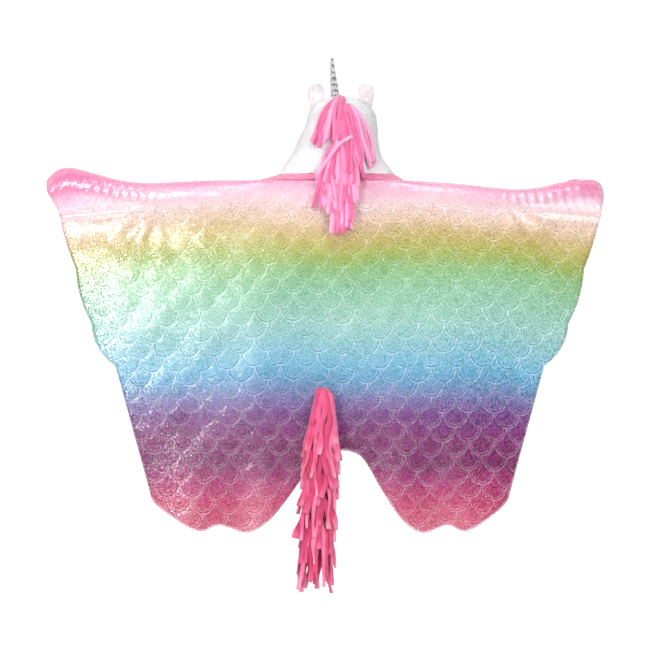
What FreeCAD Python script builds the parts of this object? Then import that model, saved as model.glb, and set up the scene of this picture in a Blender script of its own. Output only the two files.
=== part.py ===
"""Child's hooded unicorn dress-up cape, as it hangs with the hood up and both arms spread.

Millimetres. The origin is the centre-back neck point. +X is to the right as seen from behind,
+Y is the way the wearer faces and +Z is up. A printed foil plush cape with two scalloped wings
is backed by a fleece lining. A hand pocket closes each wing tip, a yoke joins the cape to a
plush hood, and a fleece fringe makes the mane and the tail.
"""
import FreeCAD, Part
import math
import os

from FreeCAD import Vector

# ---------------------------------------------------------------- cloth and clearances
FOIL_T = 2.2            # printed foil plush of the cape
LINING_T = 1.6          # fleece lining of the cape
POCKET_T = 2.0          # fleece of the hand pockets
PLUSH_T = 4.0           # plush of the hood, pile included
HOOD_LINING_T = 2.0
FLEECE_T = 2.2          # fringe fleece
MOVING_GAP = 0.4        # between pieces that move against each other
BIG = 1500.0            # longer than the whole cape, for cutting tools
RING_SIDES = 24         # facets round the hood and the yoke

# ---------------------------------------------------------------- drape of the cape
SHEET_Y = -12.0         # where foil and lining meet at the centre back
DRAPE_R = 4500.0        # the wings sweep forward on this radius
HALF_SPAN = 600.0       # wing tip to centre back
WING_FOLD_X = 175.0     # the wings bend forward at this distance from the centre back

# ---------------------------------------------------------------- outline of one half
NECK_Z = 0.0            # seam between cape and yoke
NECK_HALF_W = 150.0     # the top edge is straight this far from the centre back
# (x, z, share of the hand's lift) along the shoulder and round the hand
TOP_EDGE = [(270.0, -4.0, 0.25), (388.0, -12.0, 0.5), (450.0, -7.0, 0.6), (502.0, 6.0, 0.75),
            (552.0, 15.0, 1.0), (584.0, 9.0, 0.7), (HALF_SPAN, -16.0, 0.35)]
POCKET_SEAM_END = (584.0, -69.0)
SCALLOPS = [((566.0, -138.0), (546.0, -190.0)),
            ((541.0, -231.0), (512.0, -307.0)),
            ((501.0, -352.0), (460.0, -398.0))]   # (crest, valley) of each edge scallop
SIDE_END = (391.0, -650.0)
HEM = [(379.0, -688.0), (345.0, -718.0), (287.0, -751.0), (243.0, -739.0), (190.0, -755.0),
       (150.0, -735.0), (119.0, -700.0), (87.0, -653.0), (66.0, -619.0), (40.0, -589.0)]
ARCH_TOP_Z = -579.0     # top of the arch between the two hem points
ARCH_SHIFT = 22.0       # the arch hangs this far to the right of the centre back
HAND_REACH = {"left": 11.0, "right": -12.0}   # the left hand is held further out
HAND_LIFT = {"left": 13.0, "right": -13.0}    # and higher than the right
TRIM_MARGIN = 50.0      # how far the drape runs past the outline before it is cut

# ---------------------------------------------------------------- hand pockets
POCKET_MOUTH_X = 430.0  # the hands' reach is taken up from here to the tips
POCKET_RISE = 30.0      # room for the hand between lining and pocket
POCKET_SIDES = 14
POCKET_SINK = 3.0       # how far the pocket's form is set into the lining before it is trimmed
# (x, lower edge z, upper edge z, share of the rise) from the mouth to the tip
POCKET_SECTIONS = [(POCKET_MOUTH_X, -60.0, -20.0, 0.80), (480.0, -64.0, -8.0, 1.0),
                   (530.0, -66.0, 8.0, 1.0), (568.0, -64.0, 2.0, 0.80), (590.0, -44.0, -16.0, 0.30)]

# ---------------------------------------------------------------- hood
HOOD_X = 18.0           # centre seam: the head is a little to the right of the centre back
HOOD_BASE_Z = 14.0
HOOD_TOP_Z = 184.0
# (z, centre x, half width, back y, front y) of the plush, from the neck edge to the crown
HOOD_SECTIONS = [(HOOD_BASE_Z, 14.0, 127.0, -12.0, 118.0), (27.0, 14.0, 118.0, -16.0, 124.0),
                 (45.0, 13.0, 105.0, -22.0, 132.0), (62.0, 14.0, 95.0, -27.0, 140.0),
                 (90.0, 17.0, 86.0, -31.0, 148.0), (118.0, 23.0, 79.0, -29.0, 150.0),
                 (143.0, 25.0, 74.0, -18.0, 140.0), (158.0, 25.0, 66.0, -5.0, 126.0),
                 (169.0, 25.0, 54.0, 10.0, 112.0), (177.0, 25.0, 39.0, 25.0, 98.0),
                 (182.0, 25.0, 24.0, 40.0, 83.0), (HOOD_TOP_Z, 25.0, 14.0, 48.0, 75.0)]
FACE_X = 19.0
FACE_HALF_WIDTH = 60.0
FACE_HALF_HEIGHT = 70.0
FACE_Z = 64.0
FACE_BACK_Y = 70.0      # the face opening is cut forward of this
BINDING_W = 9.0
BINDING_PROUD = 1.5

# ---------------------------------------------------------------- yoke and closure
YOKE_HALF_WIDTH = 160.0
YOKE_FRONT_Y = 127.0
YOKE_SQUARENESS = 5.0   # superellipse power of the lower edge: straight across the back
YOKE_LINING_T = 1.6
THROAT_GAP = 16.0       # between the two front ends of the yoke
TAB_LENGTH = 66.0
TAB_T = 3.0
TAB_EDGE = 1.0          # tab inside the yoke's two edges
TAB_SEWN_LENGTH = 16.0
PATCH_LENGTH = 24.0
PATCH_EDGE = 1.2        # hook and loop inside the tab's edges
PATCH_T = 1.2

# ---------------------------------------------------------------- horn
HORN_FOOT = Vector(12.0, 92.0, 176.0)
HORN_TIP = Vector(4.0, 108.0, 263.0)
HORN_BASE_R = 11.0
HORN_TIP_R = 2.2
HORN_TURNS = 5
HORN_STEPS = 5          # sections in each turn of the spiral
HORN_SIDES = 12
HORN_SWAY = 0.14        # how far the spiral stands off the axis, as a share of its radius
HORN_WALL = 1.2
HORN_LEAN_LIMIT = 12.0  # degrees the stuffed horn bends each way

# ---------------------------------------------------------------- ears
CROWN_X = 24.0
EAR_X = 50.0            # from the middle of the crown
EAR_Y = 64.0
EAR_FOOT_Z = 160.0
EAR_LENGTH = 52.0
EAR_HALF_WIDTH = 18.0
EAR_CURL_R = 26.0
EAR_STEPS = 6           # facets across an ear
# (share of the length, share of the half width) from the foot to the rounded tip
EAR_PROFILE = [(0.0, 0.86), (0.3, 0.96), (0.55, 1.0), (0.75, 0.93), (0.88, 0.74), (0.96, 0.46), (1.0, 0.14)]
EAR_SPLAY = 8.0         # degrees outward
EAR_LINING_T = 1.8
EAR_LINING_INSET = 4.0
EAR_PLY_GAP = 0.3       # between the two plies' facets
EAR_FLOP_LIMIT = 15.0   # degrees each way

# ---------------------------------------------------------------- satin-stitched closed eyes
STITCH_T = 0.9          # height of satin stitching above the plush
EYE_X = 44.0            # from the middle of the crown
EYE_Z = 153.0
EYE_R = 12.0
EYE_LINE = 3.0
LASH_LENGTH = 7.0
LASH_ANGLES = (30.0, 65.0, 100.0)

# ---------------------------------------------------------------- mane
# (heading z, drop, left end x, right end x) of each row, x from the centre seam
MANE_ROWS = [(180.0, 102.0, -56.0, 4.0), (154.0, 112.0, 22.0, 84.0), (125.0, 127.0, -55.0, 70.0),
             (95.0, 135.0, -60.0, 38.0), (64.0, 144.0, -34.0, 40.0), (33.0, 149.0, -17.0, 27.0)]
MANE_STRIPS = 7
MANE_STRIP_W = 8.0
MANE_PINCH_W = 4.0      # strip width where it is pinched into its heading
MANE_FLARE = 0.26       # how fast a row stands off as it falls, so that rows nest
MANE_STAND = 4.6        # middle of a row's first layer, square to the hood
MANE_STATIONS = (0.0, 0.07, 0.18, 0.36, 0.62, 1.0)   # shares of a strip's length
MANE_FULL_WIDTH_AT = 0.3
MANE_TAPE_W = 12.0
MANE_TAPE_T = 1.6
MANE_TAPE_END_Z = 20.0
HEADING_H = 6.0

# ---------------------------------------------------------------- tail
TAIL_X = -17.0
TAIL_TOP_Z = -449.0
TAIL_PATCH_W = 30.0
TAIL_PATCH_H = 24.0
TAIL_PATCH_T = 2.0
TAIL_NECK_R = 7.0
TAIL_NECK_H = 12.0
TAIL_CLEAR = 2.5        # tail strips clear of the cape
TAIL_CORE_W = 16.0
TAIL_CORE_T = 5.0
TAIL_ROWS = 6
TAIL_ROW_SPACING = 55.0
TAIL_DROP = 152.0
TAIL_STRIPS = 12
TAIL_STRIP_W = 14.0
TAIL_STRIP_T = 2.2
TAIL_TOP_HALF_W = 13.0
TAIL_HALF_W = 45.0      # once the tail is full
TAIL_FULL_AT = 128.0    # below its top
TAIL_DEPTH_SHARE = 0.62 # depth of the tail over its width
TAIL_LAYER = 6.0        # between the rings of two rows
TAIL_END_WAVE = 9.0     # unevenness of the strips' ends
TAIL_CROWDING = 1.35    # strips' widths added up, over the ring they lie on

PARTS = "parts"


# ================================================================ helpers
def spline(points, closed=False):
    """A smooth edge through the points."""
    curve = Part.BSplineCurve()
    curve.interpolate([Vector(*p) for p in points], PeriodicFlag=closed)
    return curve.toShape()


def arc(start, middle, end):
    return Part.Arc(Vector(*start), Vector(*middle), Vector(*end)).toShape()


def line(start, end):
    return Part.makeLine(Vector(*start), Vector(*end))


def box(low, high):
    """A box between two corners."""
    size = [h - l for l, h in zip(low, high)]
    return Part.makeBox(*size, Vector(*low))


def side_of(sign):
    return "right" if sign > 0 else "left"


def oval_ring(z, centre_x, half_width, back_y, front_y, power=2.0):
    """Points round a superellipse at height z: power 2 is an ellipse, more is squarer."""
    centre_y = (back_y + front_y) / 2
    half_depth = (front_y - back_y) / 2
    ring = []
    for i in range(RING_SIDES):
        angle = 2 * math.pi * i / RING_SIDES
        c = math.cos(angle)
        s = math.sin(angle)
        x = math.copysign(abs(c) ** (2 / power), c)
        y = math.copysign(abs(s) ** (2 / power), s)
        ring.append(Vector(centre_x + half_width * x, centre_y + half_depth * y, z))
    return ring


def skin(rings, flat_bands=False):
    """A closed solid over rings of points. Bands whose four-sided facets aren't flat are split."""
    def facet(*corners):
        return Part.Face(Part.makePolygon(list(corners) + [corners[0]]))

    faces = [facet(*rings[0]), facet(*rings[-1])]
    for low, high in zip(rings, rings[1:]):
        for i in range(len(low)):
            j = (i + 1) % len(low)
            if flat_bands:
                faces.append(facet(low[i], low[j], high[j], high[i]))
            else:
                faces.append(facet(low[i], low[j], high[j]))
                faces.append(facet(low[i], high[j], high[i]))
    shell = Part.makeShell(faces)
    shell.sewShape()
    solid = Part.makeSolid(shell)
    if solid.Volume < 0:
        solid.reverse()
    return solid


def ribbon(stations):
    """A strip through rectangular stations: (centre, half width vector, half thickness vector)."""
    rings = []
    for centre, wide, thick in stations:
        rings.append([centre + wide + thick, centre + wide - thick,
                      centre - wide - thick, centre - wide + thick])
    return skin(rings, flat_bands=True)


def relieve(shape, form, pivot, limit, steps=2):
    """Cuts a form out of a shape at every lean up to the limit, about an axis along X."""
    for step in range(-steps, steps + 1):
        tool = form.copy()
        tool.rotate(pivot, Vector(1, 0, 0), limit * step / steps)
        shape = shape.cut(tool)
    return shape


def write(name, shape):
    """Writes one node, as a compound where it holds several solids."""
    solids = shape.Solids
    out = solids[0] if len(solids) == 1 else Part.makeCompound(solids)
    out.exportStep(os.path.join(PARTS, name + ".step"))


# ================================================================ cape
def drape_y(x, outward=0.0):
    """Y of the cape at x, outward of the line where foil and lining meet."""
    return SHEET_Y + DRAPE_R - math.sqrt((DRAPE_R + outward) ** 2 - x ** 2)


def half_outline(sign):
    """Edges of one half of the cape from the neck round the hand, and the hem's points."""
    side = side_of(sign)

    def at(x, z):
        return (sign * x, 0.0, z)

    top = [at(NECK_HALF_W, NECK_Z)]
    for x, z, share in TOP_EDGE:
        reach = HAND_REACH[side] * max(0.0, (x - POCKET_MOUTH_X) / (HALF_SPAN - POCKET_MOUTH_X))
        top.append(at(x + reach, z + HAND_LIFT[side] * share))
    start = at(*POCKET_SEAM_END)
    edges = [line(at(0.0, NECK_Z), top[0]), spline(top + [start])]
    for crest, valley in SCALLOPS:
        edges.append(arc(start, at(*crest), at(*valley)))
        start = at(*valley)
    edges.append(line(start, at(*SIDE_END)))
    hem = [at(*SIDE_END)]
    for i, (x, z) in enumerate(HEM):
        shift = ARCH_SHIFT * i / (len(HEM) - 1)
        hem.append((sign * x + shift, 0.0, z))
    return edges, hem


def cape_prism():
    """The cape's outline, extruded through its drape."""
    right_edges, right_hem = half_outline(1)
    left_edges, left_hem = half_outline(-1)
    hem = spline(right_hem + [(ARCH_SHIFT, 0.0, ARCH_TOP_Z)] + left_hem[::-1])
    wire = Part.Wire(Part.__sortEdges__(right_edges + [hem] + left_edges))
    face = Part.Face(wire)
    face.translate(Vector(0, -BIG / 2, 0))
    return face.extrude(Vector(0, BIG, 0))


def draped_wall(inner, outer):
    """A wall on the drape between two distances outward of the seam line."""
    reach = HALF_SPAN + TRIM_MARGIN
    front = [(x, drape_y(x, inner), -BIG) for x in (-reach, 0, reach)]
    back = [(x, drape_y(x, outer), -BIG) for x in (-reach, 0, reach)]
    wire = Part.Wire([arc(*front), line(front[2], back[2]), arc(*back[::-1]), line(back[0], front[0])])
    return Part.Face(wire).extrude(Vector(0, 0, 2 * BIG))


def cape_layer(prism, inner, outer):
    """One layer of the cape as (centre, left wing, right wing), parted at the wing folds."""
    layer = prism.common(draped_wall(inner, outer))
    knuckle_r = max(FOIL_T, LINING_T)
    edge = WING_FOLD_X - knuckle_r - MOVING_GAP
    centre = layer.common(box((-edge, -BIG, -BIG), (edge, BIG, BIG)))
    wings = []
    for sign in (-1, 1):
        low = (min(sign * WING_FOLD_X, sign * BIG), -BIG, -BIG)
        high = (max(sign * WING_FOLD_X, sign * BIG), BIG, BIG)
        knuckle = Part.makeCylinder(knuckle_r, 2 * BIG, Vector(sign * WING_FOLD_X, drape_y(WING_FOLD_X), -BIG))
        wings.append(layer.common(box(low, high).fuse(knuckle)))
    return centre, wings[0], wings[1]


def hand_pocket(sign):
    """A bowed pocket on the lining at the wing tip, open towards the centre."""
    side = side_of(sign)
    last = len(POCKET_SECTIONS) - 1

    def bowl(inset):
        rings = []
        for i, (x, low, high, share) in enumerate(POCKET_SECTIONS):
            centre_y = drape_y(x, -LINING_T) - POCKET_SINK
            half_h = (high - low) / 2 - inset
            half_d = POCKET_RISE * share + POCKET_SINK - inset
            centre_z = (high + low) / 2 + HAND_LIFT[side] * i / last
            along = x + HAND_REACH[side] * i / last
            if i == last:
                along -= inset
            if i == 0 and inset > 0:
                along -= 4 * inset
            ring = []
            for k in range(POCKET_SIDES):
                angle = 2 * math.pi * k / POCKET_SIDES
                ring.append(Vector(sign * along, centre_y + half_d * math.cos(angle),
                                   centre_z + half_h * math.sin(angle)))
            rings.append(ring)
        return skin(rings)

    shell = bowl(0.0).cut(bowl(POCKET_T))
    front_of_lining = draped_wall(-BIG / 4, -LINING_T)
    return shell.common(front_of_lining)


# ================================================================ hood
def hood_form(inset):
    """The hood's solid form, set in by a distance all round."""
    height = HOOD_TOP_Z - HOOD_BASE_Z
    squeeze = (height - inset) / height
    rings = []
    for z, centre_x, half_width, back_y, front_y in HOOD_SECTIONS:
        level = HOOD_BASE_Z + (z - HOOD_BASE_Z) * squeeze
        rings.append(oval_ring(level, centre_x, half_width - inset, back_y + inset, front_y - inset))
    if inset > 0:
        below = Vector(0, 0, -PLUSH_T)
        rings.insert(0, [point + below for point in rings[0]])
    return skin(rings)


def oval_prism(centre, half_width, half_height):
    """An upright oval in many flat sides, as a prism towards the front."""
    ring = []
    for i in range(RING_SIDES):
        angle = 2 * math.pi * (i + 0.5) / RING_SIDES
        ring.append(centre + Vector(half_width * math.cos(angle), 0, half_height * math.sin(angle)))
    return Part.Face(Part.makePolygon(ring + ring[:1])).extrude(Vector(0, BIG, 0))


def face_prism(grow):
    """The face opening, grown all round."""
    centre = Vector(FACE_X, FACE_BACK_Y, FACE_Z)
    return oval_prism(centre, FACE_HALF_WIDTH + grow, FACE_HALF_HEIGHT + grow)


def hood_shell(outer_inset, thickness):
    """A layer of the hood with its face opening, as (left half, right half)."""
    shell = hood_form(outer_inset).cut(hood_form(outer_inset + thickness))
    shell = shell.cut(face_prism(BINDING_W))
    left = shell.common(box((-BIG, -BIG, HOOD_BASE_Z), (HOOD_X, BIG, BIG)))
    right = shell.common(box((HOOD_X, -BIG, HOOD_BASE_Z), (BIG, BIG, BIG)))
    return left, right


def face_binding():
    """The band sewn round the face opening, over both layers."""
    total = PLUSH_T + HOOD_LINING_T
    band = hood_form(-BINDING_PROUD).cut(hood_form(total + BINDING_PROUD))
    band = band.common(face_prism(BINDING_W)).cut(face_prism(0))
    return band.common(box((-BIG, -BIG, HOOD_BASE_Z), (BIG, BIG, BIG)))


def eye(sign):
    """A closed eye in satin stitch: a drooping line with lashes."""
    centre = Vector(CROWN_X + sign * EYE_X, FACE_BACK_Y, EYE_Z)
    ring = oval_prism(centre, EYE_R, EYE_R).cut(oval_prism(centre, EYE_R - EYE_LINE, EYE_R - EYE_LINE))
    shape = ring.common(box((-BIG, 0, -BIG), (BIG, BIG, EYE_Z)))
    for angle in LASH_ANGLES:
        lash = box((EYE_R - EYE_LINE / 2, FACE_BACK_Y, -EYE_LINE / 4),
                   (EYE_R + LASH_LENGTH, BIG, EYE_LINE / 4))
        lash.rotate(Vector(0, 0, 0), Vector(0, 1, 0), angle if sign > 0 else 180 - angle)
        lash.translate(Vector(centre.x, 0, EYE_Z))
        shape = shape.fuse(lash)
    return hood_form(-STITCH_T).common(shape.removeSplitter()).cut(hood_form(0))


# ================================================================ yoke and closure
def yoke_form(depth):
    """The yoke's solid form, set in by a depth all round, or grown where that is negative."""
    _, centre_x, half_width, back_y, front_y = HOOD_SECTIONS[0]
    lower = oval_ring(NECK_Z, 0.0, YOKE_HALF_WIDTH - depth, back_y - FOIL_T + depth,
                      YOKE_FRONT_Y - depth, YOKE_SQUARENESS)
    upper = oval_ring(HOOD_BASE_Z - MOVING_GAP, centre_x, half_width - depth, back_y + depth, front_y - depth)
    return skin([lower, upper])


def yoke_layer(inset, thickness):
    """The yoke between cape and hood: straight across the back, open at the throat."""
    shell = yoke_form(inset).cut(yoke_form(inset + thickness))
    gap = box((FACE_X - THROAT_GAP / 2, FACE_BACK_Y, -BIG), (FACE_X + THROAT_GAP / 2, BIG, BIG))
    return shell.cut(gap)


def closure():
    """Throat closure in the yoke's own curve, as (tab, hook patch, loop patch), sewn on the left."""
    sewn_x = FACE_X - THROAT_GAP / 2 - TAB_SEWN_LENGTH
    tab_end = sewn_x + TAB_LENGTH
    high_z = HOOD_BASE_Z - MOVING_GAP

    def ply(stand_off, thickness, start_x, end_x, edge):
        wall = yoke_form(-stand_off - thickness).cut(yoke_form(-stand_off))
        return wall.common(box((start_x, FACE_BACK_Y, NECK_Z + edge), (end_x, BIG, high_z - edge)))

    patch_edge = TAB_EDGE + PATCH_EDGE
    patch = (tab_end - PATCH_EDGE - PATCH_LENGTH, tab_end - PATCH_EDGE, patch_edge)
    loop = ply(0.0, PATCH_T, *patch)
    hook = ply(PATCH_T + MOVING_GAP, PATCH_T, *patch)
    under_tab = 2 * PATCH_T + MOVING_GAP
    tab = ply(under_tab, TAB_T, sewn_x, tab_end, TAB_EDGE)
    foot = ply(MOVING_GAP, under_tab - MOVING_GAP, sewn_x, sewn_x + TAB_SEWN_LENGTH, TAB_EDGE)
    return tab.fuse(foot).removeSplitter(), hook, loop


# ================================================================ horn and ears
def horn(surface):
    """The spiral horn on the hood's surface, as (cover, stuffing)."""
    axis = HORN_TIP - HORN_FOOT
    length = axis.Length
    placement = FreeCAD.Placement(HORN_FOOT, FreeCAD.Rotation(Vector(0, 0, 1), axis))

    def form(radii, high, count, sway):
        rings = []
        for i in range(count + 1):
            along = i / count
            radius = radii[0] + (radii[1] - radii[0]) * along
            turn = 2 * math.pi * i / HORN_STEPS
            centre = Vector(math.cos(turn), math.sin(turn), 0) * (sway * radius) + Vector(0, 0, high * along)
            rings.append([])
            for k in range(HORN_SIDES):
                angle = 2 * math.pi * k / HORN_SIDES
                rings[-1].append(centre + Vector(radius * math.cos(angle), radius * math.sin(angle), 0))
        return skin(rings)

    outer = form((HORN_BASE_R, HORN_TIP_R), length, HORN_TURNS * HORN_STEPS, HORN_SWAY)
    core_r = [radius * (1 - HORN_SWAY) - HORN_WALL * radius / HORN_BASE_R for radius in (HORN_BASE_R, HORN_TIP_R)]
    core = form(core_r, length - 2 * HORN_WALL, 1, 0.0)
    pieces = []
    for piece in (outer.cut(core), core):
        piece.Placement = placement
        pieces.append(relieve(piece, surface, HORN_FOOT, HORN_LEAN_LIMIT))
    return pieces


def ear(sign, surface):
    """A curled two-ply ear on the hood's surface, as (outer, lining)."""
    def ply(half_width, length, outer_r, inner_r):
        rings = []
        for share, width_share in EAR_PROFILE:
            spread = half_width * width_share / EAR_CURL_R
            angles = [spread * (2 * k / EAR_STEPS - 1) for k in range(EAR_STEPS + 1)]
            loop = [(outer_r, a) for a in angles] + [(inner_r, a) for a in angles[::-1]]
            rings.append([Vector(r * math.sin(a), EAR_CURL_R - r * math.cos(a), length * share) for r, a in loop])
        return skin(rings)

    mid_r = EAR_CURL_R - PLUSH_T
    lining_r = mid_r - EAR_PLY_GAP
    plies = [ply(EAR_HALF_WIDTH, EAR_LENGTH, EAR_CURL_R, mid_r),
             ply(EAR_HALF_WIDTH - EAR_LINING_INSET, EAR_LENGTH - EAR_LINING_INSET,
                 lining_r, lining_r - EAR_LINING_T)]
    pivot = Vector(CROWN_X + sign * EAR_X, EAR_Y, EAR_FOOT_Z)
    finished = []
    for piece in plies:
        piece.rotate(Vector(0, 0, 0), Vector(0, 1, 0), sign * EAR_SPLAY)
        piece.translate(pivot - Vector(0, PLUSH_T, 0))
        piece = relieve(piece, surface, pivot, EAR_FLOP_LIMIT)
        finished.append(max(piece.Solids, key=lambda solid: solid.Volume))
    return finished


# ================================================================ mane
def hood_back_y(z):
    """Y of the hood's centre back at height z."""
    rows = [(section[0], section[3]) for section in HOOD_SECTIONS]
    if z <= rows[0][0]:
        return rows[0][1]
    for (z0, y0), (z1, y1) in zip(rows, rows[1:]):
        if z <= z1:
            return y0 + (y1 - y0) * (z - z0) / (z1 - z0)
    return rows[-1][1]


def stand_y(z):
    """Y of a strip at height z that stands off the hood's sloping back, measured square to it."""
    step = HEADING_H / 2
    slope = (hood_back_y(z + step) - hood_back_y(z - step)) / (2 * step)
    return hood_back_y(z) - MANE_STAND * math.hypot(1.0, slope)


def hang_y(z, heading):
    """Y of a strip at z: over the bulge of the hood, then plumb."""
    levels = [heading, max(z, HOOD_BASE_Z)]
    levels += [section[0] for section in HOOD_SECTIONS if z < section[0] < heading]
    return min(stand_y(level) for level in levels)


def mane_row(index):
    """One comb-cut fleece row: a pinched heading at the hood's centre seam, and its strips."""
    heading, drop, left_end, right_end = MANE_ROWS[index]
    pitch = MANE_PINCH_W + MOVING_GAP / 4
    layer_y = FLEECE_T + MOVING_GAP
    strip_top = heading - HEADING_H

    def centre(x, z, layer):
        flare = MANE_FLARE * (heading - z)
        return Vector(HOOD_X + x, hang_y(z, heading) - flare - layer * layer_y, z)

    strips = []
    for i in range(MANE_STRIPS):
        fraction = i / (MANE_STRIPS - 1)
        x_top = (i - (MANE_STRIPS - 1) / 2) * pitch
        x_end = left_end + (right_end - left_end) * fraction
        stations = []
        for share in MANE_STATIONS:
            z = strip_top - (drop - HEADING_H) * share
            x = x_top + (x_end - x_top) * share
            width = MANE_PINCH_W + (MANE_STRIP_W - MANE_PINCH_W) * min(1.0, share / MANE_FULL_WIDTH_AT)
            stations.append((centre(x, z, i % 2), Vector(width / 2, 0, 0), Vector(0, FLEECE_T / 2, 0)))
        strips.append(ribbon(stations))
    half = Vector((MANE_STRIPS - 1) / 2 * pitch + MANE_PINCH_W / 2, 0, 0)
    thick = Vector(0, FLEECE_T / 2 + layer_y / 2, 0)
    comb = ribbon([(centre(0, z, 0.5), half, thick) for z in (heading, strip_top)])
    return comb.multiFuse(strips)


def mane_tape():
    """The tape down the hood's centre back that the rows are sewn to."""
    band = hood_form(-MANE_TAPE_T).cut(hood_form(0))
    half = MANE_TAPE_W / 2
    high = MANE_ROWS[0][0]
    return band.common(box((HOOD_X - half, -BIG, MANE_TAPE_END_Z), (HOOD_X + half, EAR_Y, high)))


# ================================================================ tail
def tail_half_width(row, fall):
    """Half width of a row's ring at a fall below the tail's top: lower rows lie further in."""
    envelope = TAIL_TOP_HALF_W + (TAIL_HALF_W - TAIL_TOP_HALF_W) * min(1.0, fall / TAIL_FULL_AT)
    rows_over = row - max(0.0, (fall - TAIL_DROP) / TAIL_ROW_SPACING)
    return envelope - TAIL_LAYER * rows_over


def tail_axis_y(fall):
    """Y of the tail's middle: it stands off the cape as the tail fills out."""
    depth = tail_half_width(0, min(fall, TAIL_FULL_AT)) * TAIL_DEPTH_SHARE + TAIL_STRIP_T / 2
    return drape_y(TAIL_X, FOIL_T) - TAIL_CLEAR - depth


def tail_pivot():
    """Where the tail's neck swings: against its patch on the cape's back."""
    y = drape_y(TAIL_X, FOIL_T) - TAIL_PATCH_T - MOVING_GAP
    return Vector(TAIL_X, y, TAIL_TOP_Z - TAIL_NECK_R)


def tail_patch():
    """The patch that sews the tail to the cape's back."""
    back = drape_y(TAIL_X, FOIL_T)
    top = TAIL_TOP_Z + (TAIL_PATCH_H - 2 * TAIL_NECK_R) / 2
    wall = draped_wall(FOIL_T, FOIL_T + TAIL_PATCH_T)
    return wall.common(box((TAIL_X - TAIL_PATCH_W / 2, back - BIG, top - TAIL_PATCH_H),
                           (TAIL_X + TAIL_PATCH_W / 2, back + BIG, top)))


def tail_neck():
    """The pinched fleece stub that joins the tail to its patch: it swings from side to side."""
    pivot = tail_pivot()
    stations = []
    for share, width in ((0.0, TAIL_NECK_R), (1.0, TAIL_NECK_R * 0.8)):
        centre = pivot - Vector(0, TAIL_NECK_H * share, 0)
        stations.append((centre, Vector(width, 0, 0), Vector(0, 0, width)))
    return ribbon(stations)


def tail_core():
    """The rolled fleece core that the rows are wound round."""
    last_top = TAIL_ROW_SPACING * (TAIL_ROWS - 1)
    start = 2 * TAIL_NECK_R + MOVING_GAP
    stations = []
    for share in (0.0, 0.25, 0.6, 1.0):
        fall = start + (last_top - start) * share
        stations.append((Vector(TAIL_X, tail_axis_y(fall), TAIL_TOP_Z - fall),
                         Vector(TAIL_CORE_W / 2, 0, 0), Vector(0, TAIL_CORE_T / 2, 0)))
    return ribbon(stations)


def tail_row(row):
    """One row of strips that hang round the core."""
    strips = []
    for i in range(TAIL_STRIPS):
        angle = 2 * math.pi * (i + 0.5) / TAIL_STRIPS
        bearing = Vector(math.sin(angle), -math.cos(angle) * TAIL_DEPTH_SHARE, 0)
        outward = Vector(math.sin(angle) * TAIL_DEPTH_SHARE, -math.cos(angle), 0).normalize()
        across = Vector(-outward.y, outward.x, 0)
        drop = TAIL_DROP - TAIL_END_WAVE * (1 + math.cos(5 * angle + 2 * row)) / 2
        stations = []
        for share in (0.0, 0.3, 0.65, 1.0):
            fall = max(TAIL_ROW_SPACING * row, 2 * TAIL_NECK_R + MOVING_GAP) + drop * share
            radius = tail_half_width(row, fall)
            centre = Vector(TAIL_X, tail_axis_y(fall), TAIL_TOP_Z - fall) + bearing * radius
            room = TAIL_CROWDING * 2 * math.pi * radius * TAIL_DEPTH_SHARE / TAIL_STRIPS
            fit = min(TAIL_STRIP_W, room)
            stations.append((centre, across * (fit / 2), outward * (TAIL_STRIP_T / 2)))
        strips.append(ribbon(stations))
    return Part.makeCompound(strips)


# ================================================================ all nodes
def main():
    os.makedirs(PARTS, exist_ok=True)
    prism = cape_prism()
    centre, left, right = cape_layer(prism, 0.0, FOIL_T)
    write("cape_back_centre", centre)
    write("left_wing_outer", left)
    write("right_wing_outer", right)
    centre, left, right = cape_layer(prism, -LINING_T, 0.0)
    write("cape_lining_centre", centre)
    write("left_wing_lining", left)
    write("right_wing_lining", right)
    surface = hood_form(-MOVING_GAP)
    for sign in (-1, 1):
        write(side_of(sign) + "_hand_pocket", hand_pocket(sign))
        write(side_of(sign) + "_eye", eye(sign))
        outer, lining = ear(sign, surface)
        write(side_of(sign) + "_ear_outer", outer)
        write(side_of(sign) + "_ear_lining", lining)
    left, right = hood_shell(0.0, PLUSH_T)
    write("hood_left_outer", left)
    write("hood_right_outer", right)
    left, right = hood_shell(PLUSH_T, HOOD_LINING_T)
    write("hood_left_lining", left)
    write("hood_right_lining", right)
    write("hood_face_binding", face_binding())
    write("neck_yoke_outer", yoke_layer(0.0, FOIL_T))
    write("neck_yoke_lining", yoke_layer(FOIL_T, YOKE_LINING_T))
    tab, hook, loop = closure()
    write("throat_tab", tab)
    write("throat_hook_patch", hook)
    write("throat_loop_patch", loop)
    cover, stuffing = horn(surface)
    write("horn_cover", cover)
    write("horn_stuffing", stuffing)
    write("mane_tape", mane_tape())
    for index in range(len(MANE_ROWS)):
        write("mane_row_%d" % (index + 1), mane_row(index))
    write("tail_patch", tail_patch())
    write("tail_neck", tail_neck())
    write("tail_core", tail_core())
    for row in range(TAIL_ROWS):
        write("tail_row_%d" % (row + 1), tail_row(row))


main()
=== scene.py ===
"""A child's hooded unicorn dress-up cape: its cloth, plush, fringe and finishes.

Metres. +X is to the right as seen from behind, +Y is the way the wearer faces, +Z is up, and the
origin is the centre-back neck point. Each sub-assembly is a class that builds and dresses its
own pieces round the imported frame.
"""
import logging
import math
from dataclasses import dataclass, field
from enum import Enum
from typing import Any, Sequence

import bmesh
import bpy
import numpy as np
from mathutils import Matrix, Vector
from mathutils.geometry import delaunay_2d_cdt
from mathutils.kdtree import KDTree


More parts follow.
